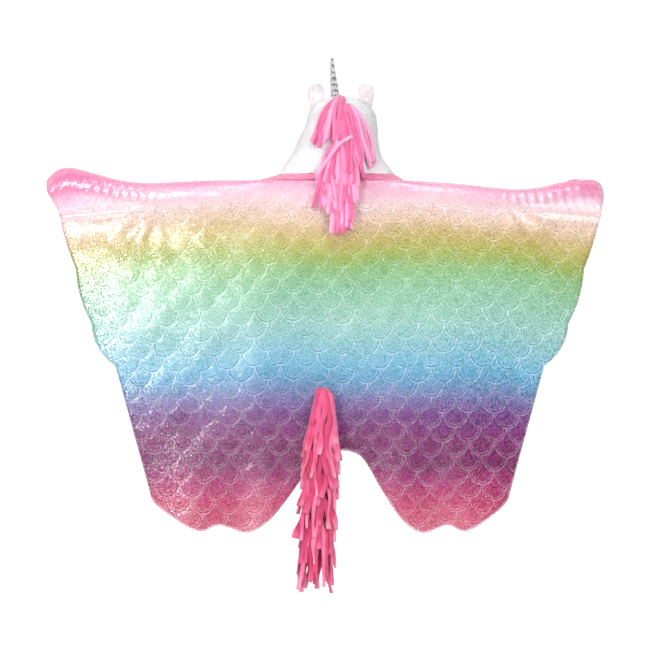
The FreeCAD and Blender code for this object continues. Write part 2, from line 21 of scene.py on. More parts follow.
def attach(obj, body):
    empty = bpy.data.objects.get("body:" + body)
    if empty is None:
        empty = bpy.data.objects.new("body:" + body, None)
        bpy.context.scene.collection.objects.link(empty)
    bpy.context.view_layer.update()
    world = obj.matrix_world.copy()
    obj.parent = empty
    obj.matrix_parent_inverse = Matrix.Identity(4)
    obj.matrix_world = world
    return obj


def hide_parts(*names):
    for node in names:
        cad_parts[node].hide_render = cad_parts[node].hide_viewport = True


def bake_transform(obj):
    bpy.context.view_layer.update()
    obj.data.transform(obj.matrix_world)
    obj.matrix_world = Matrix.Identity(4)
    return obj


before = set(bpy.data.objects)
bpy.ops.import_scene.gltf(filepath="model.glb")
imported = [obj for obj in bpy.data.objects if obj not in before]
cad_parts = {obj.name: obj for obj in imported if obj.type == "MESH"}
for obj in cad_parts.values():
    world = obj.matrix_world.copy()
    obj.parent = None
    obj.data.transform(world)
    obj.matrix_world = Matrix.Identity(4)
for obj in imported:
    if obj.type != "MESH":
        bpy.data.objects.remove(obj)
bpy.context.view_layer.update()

log = logging.getLogger("cape")

Array = np.ndarray
Colour = tuple[float, float, float]
Point = tuple[float, float, float]
Flat = tuple[float, float]
Table = tuple[tuple[float, ...], ...]
Socket = bpy.types.NodeSocket
Material = bpy.types.Material
Piece = bpy.types.Object


# ================================================================ numbers and curves
def srgb(red: float, green: float, blue: float) -> Colour:
    """A linear colour from its 0 to 255 screen values.

    Args:
        red: Red on the screen.
        green: Green.
        blue: Blue.

    Returns:
        Red, green and blue in linear light.
    """
    linear = []
    for level in (red, green, blue):
        share = level / 255
        linear.append(share / 12.92 if share <= 0.04045 else ((share + 0.055) / 1.055) ** 2.4)
    return tuple(linear)


def smooth_step(low: float, high: float, value: Array) -> Array:
    """0 before low, 1 after high and smooth between them."""
    share = np.clip((value - low) / (high - low), 0.0, 1.0)
    return share * share * (3 - 2 * share)


def bell(value: Array, width: float) -> Array:
    """A rounded bump, 1 at 0 and fading over the width."""
    return np.exp(-((value / width) ** 2))


def smooth_curve(points: Sequence[Sequence[float]], steps: int) -> Array:
    """A Catmull-Rom curve through the points.

    Args:
        points: What the curve passes through, each of any number of values.
        steps: Samples from one point to the next.

    Returns:
        One row for each sample, the first and last point included.
    """
    given = np.array(points, float)
    ends = np.vstack([2 * given[0] - given[1], given, 2 * given[-1] - given[-2]])
    share = (np.arange(steps) / steps)[:, None]
    rows = []
    for p0, p1, p2, p3 in zip(ends, ends[1:], ends[2:], ends[3:]):
        rows.append(0.5 * (2 * p1 + (p2 - p0) * share + (2 * p0 - 5 * p1 + 4 * p2 - p3) * share ** 2
                           + (3 * p1 - p0 - 3 * p2 + p3) * share ** 3))
    return np.vstack(rows + [given[-1:]])


def arc_through(start: Flat, middle: Flat, end: Flat, steps: int) -> Array:
    """Points on the circular arc through three flat points, both ends included.

    Args:
        start: First point.
        middle: A point between.
        end: Last point.
        steps: Parts it is cut into.

    Returns:
        The points in order.
    """
    a, b, c = (np.array(p, float) for p in (start, middle, end))
    ab, ac = b - a, c - a
    cross = 2 * (ab[0] * ac[1] - ab[1] * ac[0])
    offset = np.array([ac[1] * ab.dot(ab) - ab[1] * ac.dot(ac),
                       ab[0] * ac.dot(ac) - ac[0] * ab.dot(ab)]) / cross
    centre = a + offset
    radius = np.hypot(*offset)
    turns = np.unwrap([math.atan2(*(p - centre)[::-1]) for p in (a, b, c)])
    angles = np.linspace(turns[0], turns[2], steps + 1)
    return centre + radius * np.column_stack([np.cos(angles), np.sin(angles)])


def spaced_evenly(line: Array, spacing: float) -> Array:
    """The same polyline with evenly spaced points, both ends kept.

    Args:
        line: Points of any number of values.
        spacing: About how far apart they become.

    Returns:
        The new points.
    """
    lengths = np.r_[0.0, np.cumsum(np.linalg.norm(np.diff(line, axis=0), axis=1))]
    count = max(2, int(round(lengths[-1] / spacing)) + 1)
    wanted = np.linspace(0, lengths[-1], count)
    return np.column_stack([np.interp(wanted, lengths, line[:, k]) for k in range(line.shape[1])])


@dataclass(frozen=True)
class Ripple:
    """Smooth, repeatable unevenness made of waves that run in many directions."""

    wavelength: float  # About how far apart two crests are.
    seed: int  # Which unevenness it is.
    waves: int = 14  # How many waves are added up.

    def at(self, points: Array) -> Array:
        """Height, mostly from -1 to 1, at each point.

        Args:
            points: One row for each point.

        Returns:
            One height for each.
        """
        draw = np.random.default_rng(self.seed)
        ways = draw.normal(size=(self.waves, points.shape[1]))
        ways /= np.linalg.norm(ways, axis=1, keepdims=True)
        rates = 2 * np.pi / (self.wavelength * draw.uniform(0.7, 1.5, self.waves))
        phases = draw.uniform(0, 2 * np.pi, self.waves)
        total = np.sin(points @ (ways * rates[:, None]).T + phases).sum(axis=1)
        return total / math.sqrt(self.waves / 2) / 1.6


# ================================================================ meshes
def grid_faces(rows: int, columns: int, closed: bool) -> list[tuple[int, ...]]:
    """Quads over a grid of points, joined round each row where closed.

    Args:
        rows: How many rows of points.
        columns: Points in a row.
        closed: Whether a row's end joins its start.

    Returns:
        The faces, as numbers of points.
    """
    faces = []
    for row in range(rows - 1):
        for column in range(columns if closed else columns - 1):
            after = (column + 1) % columns
            faces.append((row * columns + column, row * columns + after,
                          (row + 1) * columns + after, (row + 1) * columns + column))
    return faces


def put_in_scene(name: str, data: Any) -> Piece:
    """Links a new object for a mesh, lamp or camera.

    Args:
        name: What it is called.
        data: The mesh, lamp or camera.

    Returns:
        The object.
    """
    made = bpy.data.objects.new(name, data)
    bpy.context.scene.collection.objects.link(made)
    return made


class Making:
    """Points, faces and point values of one piece, gathered from its parts."""

    def __init__(self) -> None:
        """Starts with nothing."""
        self.points: list[Array] = []
        self.faces: list[tuple[int, ...]] = []
        self.values: dict[str, list[Array]] = {}
        self.count = 0

    def add(self, points: Array, faces: Sequence[Sequence[int]], **values: Any) -> "Making":
        """Adds a part.

        Args:
            points: Its corners.
            faces: Its faces, as numbers of those corners.
            values: Named values, one for the part or one for each point.

        Returns:
            Itself, for the next call.
        """
        base = self.count
        self.points.append(np.asarray(points, float))
        self.faces += [tuple(base + corner for corner in face) for face in faces]
        for name, value in values.items():
            spread = np.broadcast_to(np.asarray(value, float), (len(points),) + np.shape(value)[1:])
            self.values.setdefault(name, []).append(spread)
        self.count += len(points)
        return self

    def tube(self, rings: Array, open_foot: bool = False, **values: Any) -> "Making":
        """Adds a tube over rings of points, capped at its end.

        Args:
            rings: Rows of points, each row one closed ring.
            open_foot: Whether the first ring stays without a cap.
            values: Named values, as for a part.

        Returns:
            Itself, for the next call.
        """
        rows, columns = rings.shape[:2]
        faces = grid_faces(rows, columns, closed=True)
        if not open_foot:
            faces.append(tuple(range(columns))[::-1])
        faces.append(tuple((rows - 1) * columns + column for column in range(columns)))
        return self.add(rings.reshape(-1, 3), faces, **values)

    def shell(self, outer: Array, inner: Array, **values: Any) -> "Making":
        """Adds a ply between two like grids of points and closes its rim.

        Args:
            outer: Rows of points on one face.
            inner: Rows of points on the other.
            values: Named values, as for a part.

        Returns:
            Itself, for the next call.
        """
        rows, columns = outer.shape[:2]
        size = rows * columns
        faces = grid_faces(rows, columns, closed=False)
        faces += [tuple(size + corner for corner in face[::-1]) for face in faces]
        first = [row * columns for row in range(rows)]
        last = [corner + columns - 1 for corner in first]
        for line in (range(columns), range(size - columns, size), first, last):
            faces += [(a, b, b + size, a + size) for a, b in zip(line, line[1:])]
        return self.add(np.vstack([outer.reshape(-1, 3), inner.reshape(-1, 3)]), faces, **values)

    def piece(self, name: str, finish: Material, closed: bool = False) -> Piece:
        """The finished piece, shaded smoothly.

        Args:
            name: What the piece is called.
            finish: Its material.
            closed: Whether its faces enclose it and are turned outward.

        Returns:
            The object, in the scene.
        """
        mesh = bpy.data.meshes.new(name)
        mesh.from_pydata(np.vstack(self.points).tolist(), [], self.faces)
        for label, parts in self.values.items():
            wide = parts[0].ndim > 1
            store = mesh.attributes.new(label, "FLOAT_VECTOR" if wide else "FLOAT", "POINT")
            flat = np.concatenate(parts).astype(np.float32).ravel()
            store.data.foreach_set("vector" if wide else "value", flat)
        mesh.polygons.foreach_set("use_smooth", [True] * len(mesh.polygons))
        mesh.materials.append(finish)
        mesh.validate()
        if closed:
            work = bmesh.new()
            work.from_mesh(mesh)
            bmesh.ops.recalc_face_normals(work, faces=work.faces)
            work.to_mesh(mesh)
            work.free()
        log.info("%s: %d points, %d faces", name, len(mesh.vertices), len(mesh.polygons))
        return put_in_scene(name, mesh)


def thicken(piece: Piece, thickness: float, offset: float = -1.0) -> None:
    """Gives an open sheet its thickness.

    Args:
        piece: The sheet.
        thickness: How thick it becomes.
        offset: -1 for thickness behind its faces, 1 for thickness before them.
    """
    added = piece.modifiers.new("thickness", "SOLIDIFY")
    added.thickness = thickness
    added.offset = offset
    added.use_even_offset = False
    bpy.context.view_layer.update()
    seen = piece.evaluated_get(bpy.context.evaluated_depsgraph_get())
    mesh = bpy.data.meshes.new_from_object(seen)
    piece.modifiers.clear()
    piece.data = mesh


def oval_rings(centres: Array, across: Array, up: Array, halves: Array, power: float) -> Array:
    """Rounded rings round a line of centres, with a half width and half height for each.

    Args:
        centres: Middle of each ring.
        across: Way to its side.
        up: Way to its top.
        halves: Half width and half height of each.
        power: 1 for an ellipse, less for squarer rings.

    Returns:
        One ring of points for each centre.
    """
    turn = np.linspace(0, 2 * math.pi, 28, endpoint=False)
    wide = np.sign(np.cos(turn)) * np.abs(np.cos(turn)) ** power
    high = np.sign(np.sin(turn)) * np.abs(np.sin(turn)) ** power
    return (centres[:, None] + halves[:, :1, None] * wide[None, :, None] * across
            + halves[:, 1:, None] * high[None, :, None] * up)


# ================================================================ finishes
class Graph:
    """A node tree, with short calls for the nodes that finishes share."""

    def __init__(self, tree: bpy.types.NodeTree) -> None:
        """Works on a tree that is there."""
        self.tree = tree

    def feed(self, socket: Socket, value: Any) -> None:
        """Links or sets one input.

        Args:
            socket: The input.
            value: A socket, a colour or a number.
        """
        if isinstance(value, Socket):
            self.tree.links.new(value, socket)
        elif isinstance(value, tuple) and len(value) == 3 and socket.type == "RGBA":
            socket.default_value = (*value, 1.0)
        else:
            socket.default_value = value

    def node(self, kind: str, inputs: dict[Any, Any], **settings: Any) -> bpy.types.Node:
        """A new node with its settings and inputs.

        Args:
            kind: Type name after ShaderNode.
            inputs: Value or socket for each input's name or number.
            settings: Properties of the node.

        Returns:
            The node.
        """
        made = self.tree.nodes.new("ShaderNode" + kind)
        for name, value in settings.items():
            setattr(made, name, value)
        for key, value in inputs.items():
            self.feed(made.inputs[key], value)
        return made

    def math(self, operation: str, a: Any, b: Any = 0.0) -> Socket:
        """A difference, power or other operation on two numbers."""
        return self.node("Math", {0: a, 1: b}, operation=operation).outputs[0]

    def times(self, a: Any, b: Any) -> Socket:
        """The product of two numbers."""
        return self.math("MULTIPLY", a, b)

    def plus(self, a: Any, b: Any) -> Socket:
        """The sum of two numbers."""
        return self.math("ADD", a, b)

    def mix(self, share: Any, a: Any, b: Any, blend: str = "MIX") -> Socket:
        """Two colours mixed by a share."""
        return self.node("Mix", {0: share, 6: a, 7: b}, data_type="RGBA", blend_type=blend).outputs[2]

    def tint(self, colour: Any, by: Any) -> Socket:
        """A colour multiplied by another."""
        return self.mix(1.0, colour, by, "MULTIPLY")

    def grey(self, level: Any) -> Socket:
        """The grey of a number."""
        return self.node("CombineColor", {0: level, 1: level, 2: level}).outputs[0]

    def attribute(self, name: str, output: str = "Fac") -> Socket:
        """A value stored on the piece's points."""
        return self.node("Attribute", {}, attribute_name=name).outputs[output]

    def split(self, vector: Any) -> tuple[Socket, ...]:
        """The three parts of a vector."""
        return tuple(self.node("SeparateXYZ", {0: vector}).outputs)

    def place(self) -> Socket:
        """Where a point is on the piece at rest."""
        return self.node("TexCoord", {}).outputs["Object"]

    def noise(self, vector: Any, scale: float, detail: float = 2.0) -> Socket:
        """Soft noise from 0 to 1."""
        return self.node("TexNoise", {"Vector": vector, "Scale": scale, "Detail": detail}).outputs["Fac"]

    def cells(self, vector: Any, scale: float) -> Socket:
        """Distance to the nearest of many scattered cells."""
        return self.node("TexVoronoi", {"Vector": vector, "Scale": scale}).outputs["Distance"]

    def range(self, value: Any, low: float, high: float, to_low: float, to_high: float) -> Socket:
        """A number taken smoothly from one range to another, and kept in it."""
        inputs = {0: value, 1: low, 2: high, 3: to_low, 4: to_high}
        return self.node("MapRange", inputs, interpolation_type="SMOOTHSTEP").outputs[0]

    def ramp(self, value: Any, stops: Sequence[tuple[float, Colour]]) -> Socket:
        """Colours along a number from 0 to 1.

        Args:
            value: The number.
            stops: Place and colour of each stop.

        Returns:
            The colour.
        """
        made = self.node("ValToRGB", {0: value})
        band = made.color_ramp
        while len(band.elements) < len(stops):
            band.elements.new(0.5)
        for element, (place, colour) in zip(band.elements, stops):
            element.position = place
        for element, (place, colour) in zip(band.elements, stops):
            element.color = (*colour, 1.0)
        return made.outputs[0]

    def bump(self, height: Any, distance: float, strength: float = 1.0, over: Any = None) -> Socket:
        """A normal that shows a height, on top of another normal."""
        inputs = {"Height": height, "Distance": distance, "Strength": strength}
        return self.node("Bump", inputs if over is None else {**inputs, "Normal": over}).outputs[0]


class Surface(Graph):
    """The node tree of a new material with one principled surface."""

    def __init__(self, name: str) -> None:
        """Starts the material.

        Args:
            name: What it is called.
        """
        self.material = bpy.data.materials.new(name)
        self.material.use_nodes = True
        super().__init__(self.material.node_tree)
        self.tree.nodes.clear()
        self.surface = self.tree.nodes.new("ShaderNodeBsdfPrincipled")
        self.output = self.tree.nodes.new("ShaderNodeOutputMaterial")
        self.tree.links.new(self.surface.outputs[0], self.output.inputs[0])

    def set(self, **inputs: Any) -> None:
        """Sets or links inputs of the surface, named with underscores for spaces."""
        for name, value in inputs.items():
            self.feed(self.surface.inputs[name.replace("_", " ")], value)


@dataclass(frozen=True)
class FoilPlush:
    """Short plush, printed from pink at the top through a rainbow, under a clear embossed foil."""

    # Cloth height and screen colour of each band of the print, from the top down.
    bands: Table = (
        (0.030, 250, 130, 180), (0.004, 250, 146, 190), (-0.015, 252, 182, 212), (-0.045, 255, 220, 226),
        (-0.080, 246, 212, 188), (-0.112, 212, 185, 118), (-0.140, 184, 180, 78), (-0.165, 158, 181, 82),
        (-0.190, 146, 194, 126), (-0.240, 148, 204, 168), (-0.310, 161, 211, 203), (-0.390, 131, 193, 224),
        (-0.420, 110, 170, 212), (-0.470, 130, 114, 177), (-0.500, 131, 68, 146), (-0.550, 140, 34, 120),
        (-0.605, 138, 26, 110), (-0.640, 178, 55, 125), (-0.690, 209, 76, 125), (-0.760, 223, 108, 142))
    scale_width: float = 0.054  # Width of one embossed scale.
    scale_step: float = 0.031  # From one row of scales to the next.
    # Where a scale's embossed edge runs, raised and also painted paler as a painted highlight, as a share of
    # its size, its half width and its foot's.
    outer_line: Point = (0.950, 0.028, 0.062)
    inner_line: Point = (0.770, 0.010, 0.045)  # The same for the fainter line inside it.
    groove: Point = (0.858, 0.016, 0.052)  # The same for the groove between the two, sunk and also painted darker as painted shade.
    facet_pitch: float = 340.0  # Facets of the foil in a metre.
    facet_tilt: float = 0.17  # How far the facets tip.

    def build(self) -> Material:
        """Builds the material, for pieces that carry the cloth value: flat x, flat z and way in.

        Returns:
            The material.
        """
        g = Surface("foil_plush")
        cloth = g.attribute("cloth", "Vector")
        flat_x, flat_z, from_edge = g.split(cloth)
        wander = g.times(g.math("SUBTRACT", g.noise(cloth, 9.0, 3.0), 0.5), 0.030)
        top, foot = self.bands[0][0], self.bands[-1][0]
        height = g.node("MapRange", {0: g.plus(flat_z, wander), 1: foot, 2: top}).outputs[0]
        stops = [((z - foot) / (top - foot), srgb(*colour)) for z, *colour in self.bands[::-1]]
        colour = g.ramp(height, stops)

        reach = self.scale_reach(g, flat_x, flat_z)
        outer = self.ridge(g, reach, *self.outer_line)
        inner = self.ridge(g, reach, *self.inner_line)
        line_strength = g.range(g.noise(cloth, 22.0, 3.0), 0.35, 0.62, 0.55, 1.0)
        below_top = g.range(flat_z, -0.065, -0.030, 1.0, 0.12)
        line_strength = g.times(line_strength, below_top)
        lines = g.times(g.math("MAXIMUM", outer, g.times(inner, 0.75)), line_strength)
        dark = g.times(self.ridge(g, reach, *self.groove), line_strength)

        cell = g.node("TexVoronoi", {"Vector": cloth, "Scale": self.facet_pitch})
        fleck, other, _ = g.split(cell.outputs["Color"])
        grain = cell.outputs["Distance"]
        fine = g.noise(cloth, 420.0, 2.0)
        low = g.range(flat_z, -0.40, -0.22, 1.0, 0.45)
        # Painted highlight: the embossed lines are painted paler and whiter, as where the foil's ridges catch
        # the light.
        painted_highlight = g.mix(0.17, g.tint(colour, (1.40, 1.42, 1.45, 1.0)), srgb(250, 255, 255))
        colour = g.mix(g.times(lines, 0.90), colour, painted_highlight)
        # Painted shade: the groove between the lines is painted darker, more so low on the cape.
        painted_groove_shade = g.times(dark, g.times(low, 0.75))
        colour = g.mix(painted_groove_shade, colour, g.tint(colour, srgb(155, 122, 168)))
        level = g.plus(g.range(fleck, 0.0, 1.0, -0.26, 0.22), g.range(fine, 0.3, 0.7, -0.14, 0.14))
        level = g.plus(g.times(level, below_top), 1.0)
        colour = g.tint(colour, g.grey(level))
        dots = g.plus(g.range(fleck, 0.0, 1.0, -0.080, 0.080), g.range(grain, 0.15, 0.60, 0.055, -0.060))
        dots = g.times(dots, g.times(below_top, low))
        tinted = g.tint(g.grey(dots), srgb(255, 172, 244))
        colour = g.mix(1.0, colour, tinted, "ADD")
        colour = g.node("VectorMath", {0: colour, 1: (0.0, 0.0, 0.0)}, operation="MAXIMUM").outputs[0]
        hem = g.range(from_edge, 0.0, 0.006, 0.55, 0.0)
        colour = g.mix(hem, colour, g.tint(colour, srgb(214, 178, 206)))
        g.set(Base_Color=colour)

        relief = g.plus(g.times(lines, 0.9), g.times(dark, -0.5))
        relief = g.plus(relief, g.times(grain, 0.9))
        creased = g.bump(g.noise(cloth, 70.0, 5.0), 0.00032)
        tilted = self.tilt(g, cell.outputs["Color"], creased)
        g.set(Normal=g.bump(relief, 0.0004, 1.0, tilted))
        g.set(Roughness=g.range(other, 0.0, 1.0, 0.26, 0.36), Metallic=0.03, IOR=2.2)
        g.set(Coat_Weight=g.range(fleck, 0.0, 1.0, 0.45, 1.0), Coat_Roughness=0.24, Coat_IOR=2.3)
        film = g.bump(g.noise(cloth, 130.0, 4.0), 0.0003)
        g.set(Coat_Normal=self.tilt(g, cell.outputs["Color"], film))
        return g.material

    def tilt(self, g: Graph, facets: Any, normal: Any) -> Socket:
        """A normal tipped a little another way on each facet of the foil.

        Args:
            g: The material's tree.
            facets: A colour that differs from facet to facet.
            normal: What is tipped.

        Returns:
            The tipped normal.
        """
        centred = g.node("VectorMath", {0: facets, 1: (0.5, 0.5, 0.5)}, operation="SUBTRACT").outputs[0]
        amount = (self.facet_tilt,) * 3
        tipped = g.node("VectorMath", {0: centred, 1: amount}, operation="MULTIPLY").outputs[0]
        total = g.node("VectorMath", {0: normal, 1: tipped}, operation="ADD").outputs[0]
        return g.node("VectorMath", {0: total}, operation="NORMALIZE").outputs[0]

    def ridge(self, g: Graph, reach: Any, middle: float, flat: float, foot: float) -> Socket:
        """1 on a line round the scales at a share of their size, fading to 0 at its foot."""
        return g.range(g.math("ABSOLUTE", g.math("SUBTRACT", reach, middle)), flat, foot, 1.0, 0.0)

    def scale_reach(self, g: Graph, flat_x: Any, flat_z: Any) -> Socket:
        """How far a point is from its scale's centre: 1 on the scale's rounded lower edge.

        Args:
            g: The material's tree.
            flat_x: X on the cloth.
            flat_z: Z on the cloth.

        Returns:
            The reach, as a share of the scale's size.
        """
        rows = g.math("DIVIDE", flat_z, self.scale_step)
        row = g.math("FLOOR", rows)
        up = g.math("SUBTRACT", rows, row)
        shift = g.times(g.math("FLOORED_MODULO", row, 2.0), 0.5)
        across = g.math("FRACT", g.plus(g.math("DIVIDE", flat_x, self.scale_width), shift))
        side = g.times(g.math("SUBTRACT", across, 0.5), 2.0)
        below = g.math("SUBTRACT", 1.0, up)
        return g.math("SQRT", g.plus(g.math("POWER", side, 2.0), g.math("POWER", below, 2.0)))


@dataclass(frozen=True)
class Fleece:
    """Soft cut or brushed fleece."""

    name: str  # The material's name.
    base: Colour  # Its colour.
    deep: Colour  # Its darker colour, where its noise is low and on strips with a low shade value; on the fringes it is painted shade.
    pale: Colour  # Its paler colour, where its noise is high and on strips with a high shade value; on the fringes it is painted highlight.
    fuzz: float = 0.0008  # Height of its pile.
    shaded: bool = False  # Whether the piece carries a shade value for each strip.

    def build(self) -> Material:
        """Builds the material.

        Returns:
            The material.
        """
        g = Surface(self.name)
        place = g.place()
        cloudy = g.noise(place, 55.0, 4.0)
        if self.shaded:
            shade = g.attribute("shade")
            cloudy = g.plus(g.times(cloudy, 0.35), g.times(shade, 0.65))
        # On the fringes the ends of this ramp are painted shade and painted highlight, picked strip by strip.
        colour = g.ramp(cloudy, [(0.12, self.deep), (0.5, self.base), (0.88, self.pale)])
        pile = g.noise(place, 900.0, 3.0)
        tufts = g.cells(place, 420.0)
        level = g.range(pile, 0.25, 0.75, 0.90, 1.08)
        colour = g.tint(colour, g.grey(level))
        g.set(Base_Color=colour, Roughness=0.92, Specular_IOR_Level=0.2)
        g.set(Sheen_Weight=0.35, Sheen_Roughness=0.45)
        g.set(Normal=g.bump(g.plus(pile, tufts), self.fuzz, 0.8))
        return g.material


@dataclass(frozen=True)
class WhitePlush:
    """Dense white pile whose tufts part and shade a little."""

    name: str  # The material's name.
    base: Colour = srgb(252, 251, 252)  # Its colour.
    hollow: Colour = srgb(232, 230, 237)  # Its colour between tufts: painted shade.

    def build(self) -> Material:
        """Builds the material.

        Returns:
            The material.
        """
        g = Surface(self.name)
        place = g.place()
        tufts = g.noise(place, 190.0, 4.0)
        fibres = g.noise(place, 800.0, 2.0)
        swirl = g.noise(place, 28.0, 3.0)
        # Painted shade: the hollows between tufts are painted greyer.
        share = g.range(g.plus(g.times(tufts, 0.6), g.times(swirl, 0.4)),
                        0.30, 0.62, 0.0, 1.0)
        g.set(Base_Color=g.mix(share, self.hollow, self.base), Roughness=0.9, Sheen_Weight=0.25,
              Sheen_Roughness=0.4, Specular_IOR_Level=0.15)
        rough = g.bump(g.plus(tufts, g.times(fibres, 0.5)), 0.0022, 0.8)
        g.set(Normal=rough)
        return g.material


@dataclass(frozen=True)
class SilverCloth:
    """Metallised woven cloth that is pulled tight and catches the light thread by thread."""

    # Painted glint colour and painted shade colour of the silver.
    painted_glint_silver: Colour = srgb(240, 240, 242)
    painted_shade_silver: Colour = srgb(140, 140, 145)

    def build(self) -> Material:
        """Builds the material, for pieces that carry a groove value.

        Returns:
            The material.
        """
        g = Surface("horn_foil")
        place = g.place()
        groove = g.attribute("groove")
        threads = g.cells(place, 900.0)
        crinkle = g.noise(place, 260.0, 4.0)
        # Painted glints and painted shade: the silver is painted whiter on the crinkles that catch the light
        # and greyer in the spiral's groove.
        share = g.range(g.plus(g.times(crinkle, 1.2), g.times(groove, -0.35)),
                        0.28, 0.62, 0.0, 1.0)
        g.set(Base_Color=g.mix(share, self.painted_shade_silver, self.painted_glint_silver), Metallic=0.35)
        g.set(Roughness=g.range(crinkle, 0.3, 0.7, 0.22, 0.48))
        g.set(Normal=g.bump(g.plus(threads, g.times(crinkle, 1.5)), 0.0011, 1.0))
        return g.material


@dataclass(frozen=True)
class Thread:
    """Sewing or embroidery thread."""

    name: str  # The material's name.
    colour: Colour  # Its colour.

    def build(self) -> Material:
        """Builds the material.

        Returns:
            The material.
        """
        g = Surface(self.name)
        twist = g.node("TexWave", {"Vector": g.place(), "Scale": 900.0, "Distortion": 1.5}).outputs["Fac"]
        dark = g.tint(self.colour, srgb(170, 165, 170))
        g.set(Base_Color=g.mix(g.range(twist, 0.2, 0.8, 0.0, 1.0), dark, self.colour))
        g.set(Roughness=0.45, Sheen_Weight=0.2, Normal=g.bump(twist, 0.0003))
        return g.material


@dataclass(frozen=True)
class HookAndLoop:
    """Moulded hooks or felted loops on a woven tape."""

    colour: Colour = srgb(238, 238, 238)

    def build(self) -> Material:
        """Builds the material.

        Returns:
            The material.
        """
        g = Surface("hook_and_loop")
        bristles = g.cells(g.place(), 700.0)
        g.set(Base_Color=g.mix(g.range(bristles, 0.1, 0.7, 0.0, 1.0), self.colour, srgb(190, 190, 194)))
        g.set(Roughness=0.6, Normal=g.bump(bristles, 0.0009))
        return g.material


class Finishes:
    """Every finish of the cape, built once."""

    def __init__(self) -> None:
        """Builds the materials."""
        self.foil = FoilPlush().build()
        # The fringes' deep and pale colours are painted shade and painted highlight.
        self.mane = Fleece("fringe_fleece", srgb(254, 150, 197), srgb(234, 92, 146), srgb(255, 186, 220),
                           shaded=True).build()
        self.tail = Fleece("tail_fleece", srgb(241, 104, 150), srgb(200, 52, 102), srgb(255, 172, 202),
                           shaded=True).build()
        self.lining = Fleece("cape_lining", srgb(244, 168, 196), srgb(238, 154, 185),
                             srgb(248, 178, 203)).build()
        self.yoke = Fleece("yoke_fleece", srgb(246, 142, 178), srgb(226, 104, 146),
                           srgb(252, 172, 200)).build()
        self.plush = WhitePlush("hood_plush").build()
        # The ears wear the hood's white plush painted greyer: painted shade.
        self.ear_plush = WhitePlush("ear_plush", srgb(240, 233, 237), srgb(212, 205, 210)).build()
        self.hood_lining = Fleece("hood_lining", srgb(240, 238, 240), srgb(222, 219, 224),
                                  srgb(248, 247, 248)).build()
        self.ear_lining = Fleece("ear_lining", srgb(250, 206, 222), srgb(240, 182, 204),
                                 srgb(253, 222, 232)).build()
        self.horn = SilverCloth().build()
        self.stuffing = WhitePlush("stuffing").build()
        self.hem_thread = Thread("hem_thread", srgb(176, 104, 160)).build()
        self.eye_thread = Thread("eye_thread", srgb(48, 42, 50)).build()
        self.closure = HookAndLoop().build()


@dataclass
class SubAssembly:
    """What every sub-assembly is made from."""

    finishes: Finishes  # The cape's finishes.


# ================================================================ the cape
class Side(Enum):
    """Which half of the cape, as seen from behind."""

    LEFT = -1
    RIGHT = 1

    @property
    def word(self) -> str:
        """The side's name in lower case."""
        return self.name.lower()


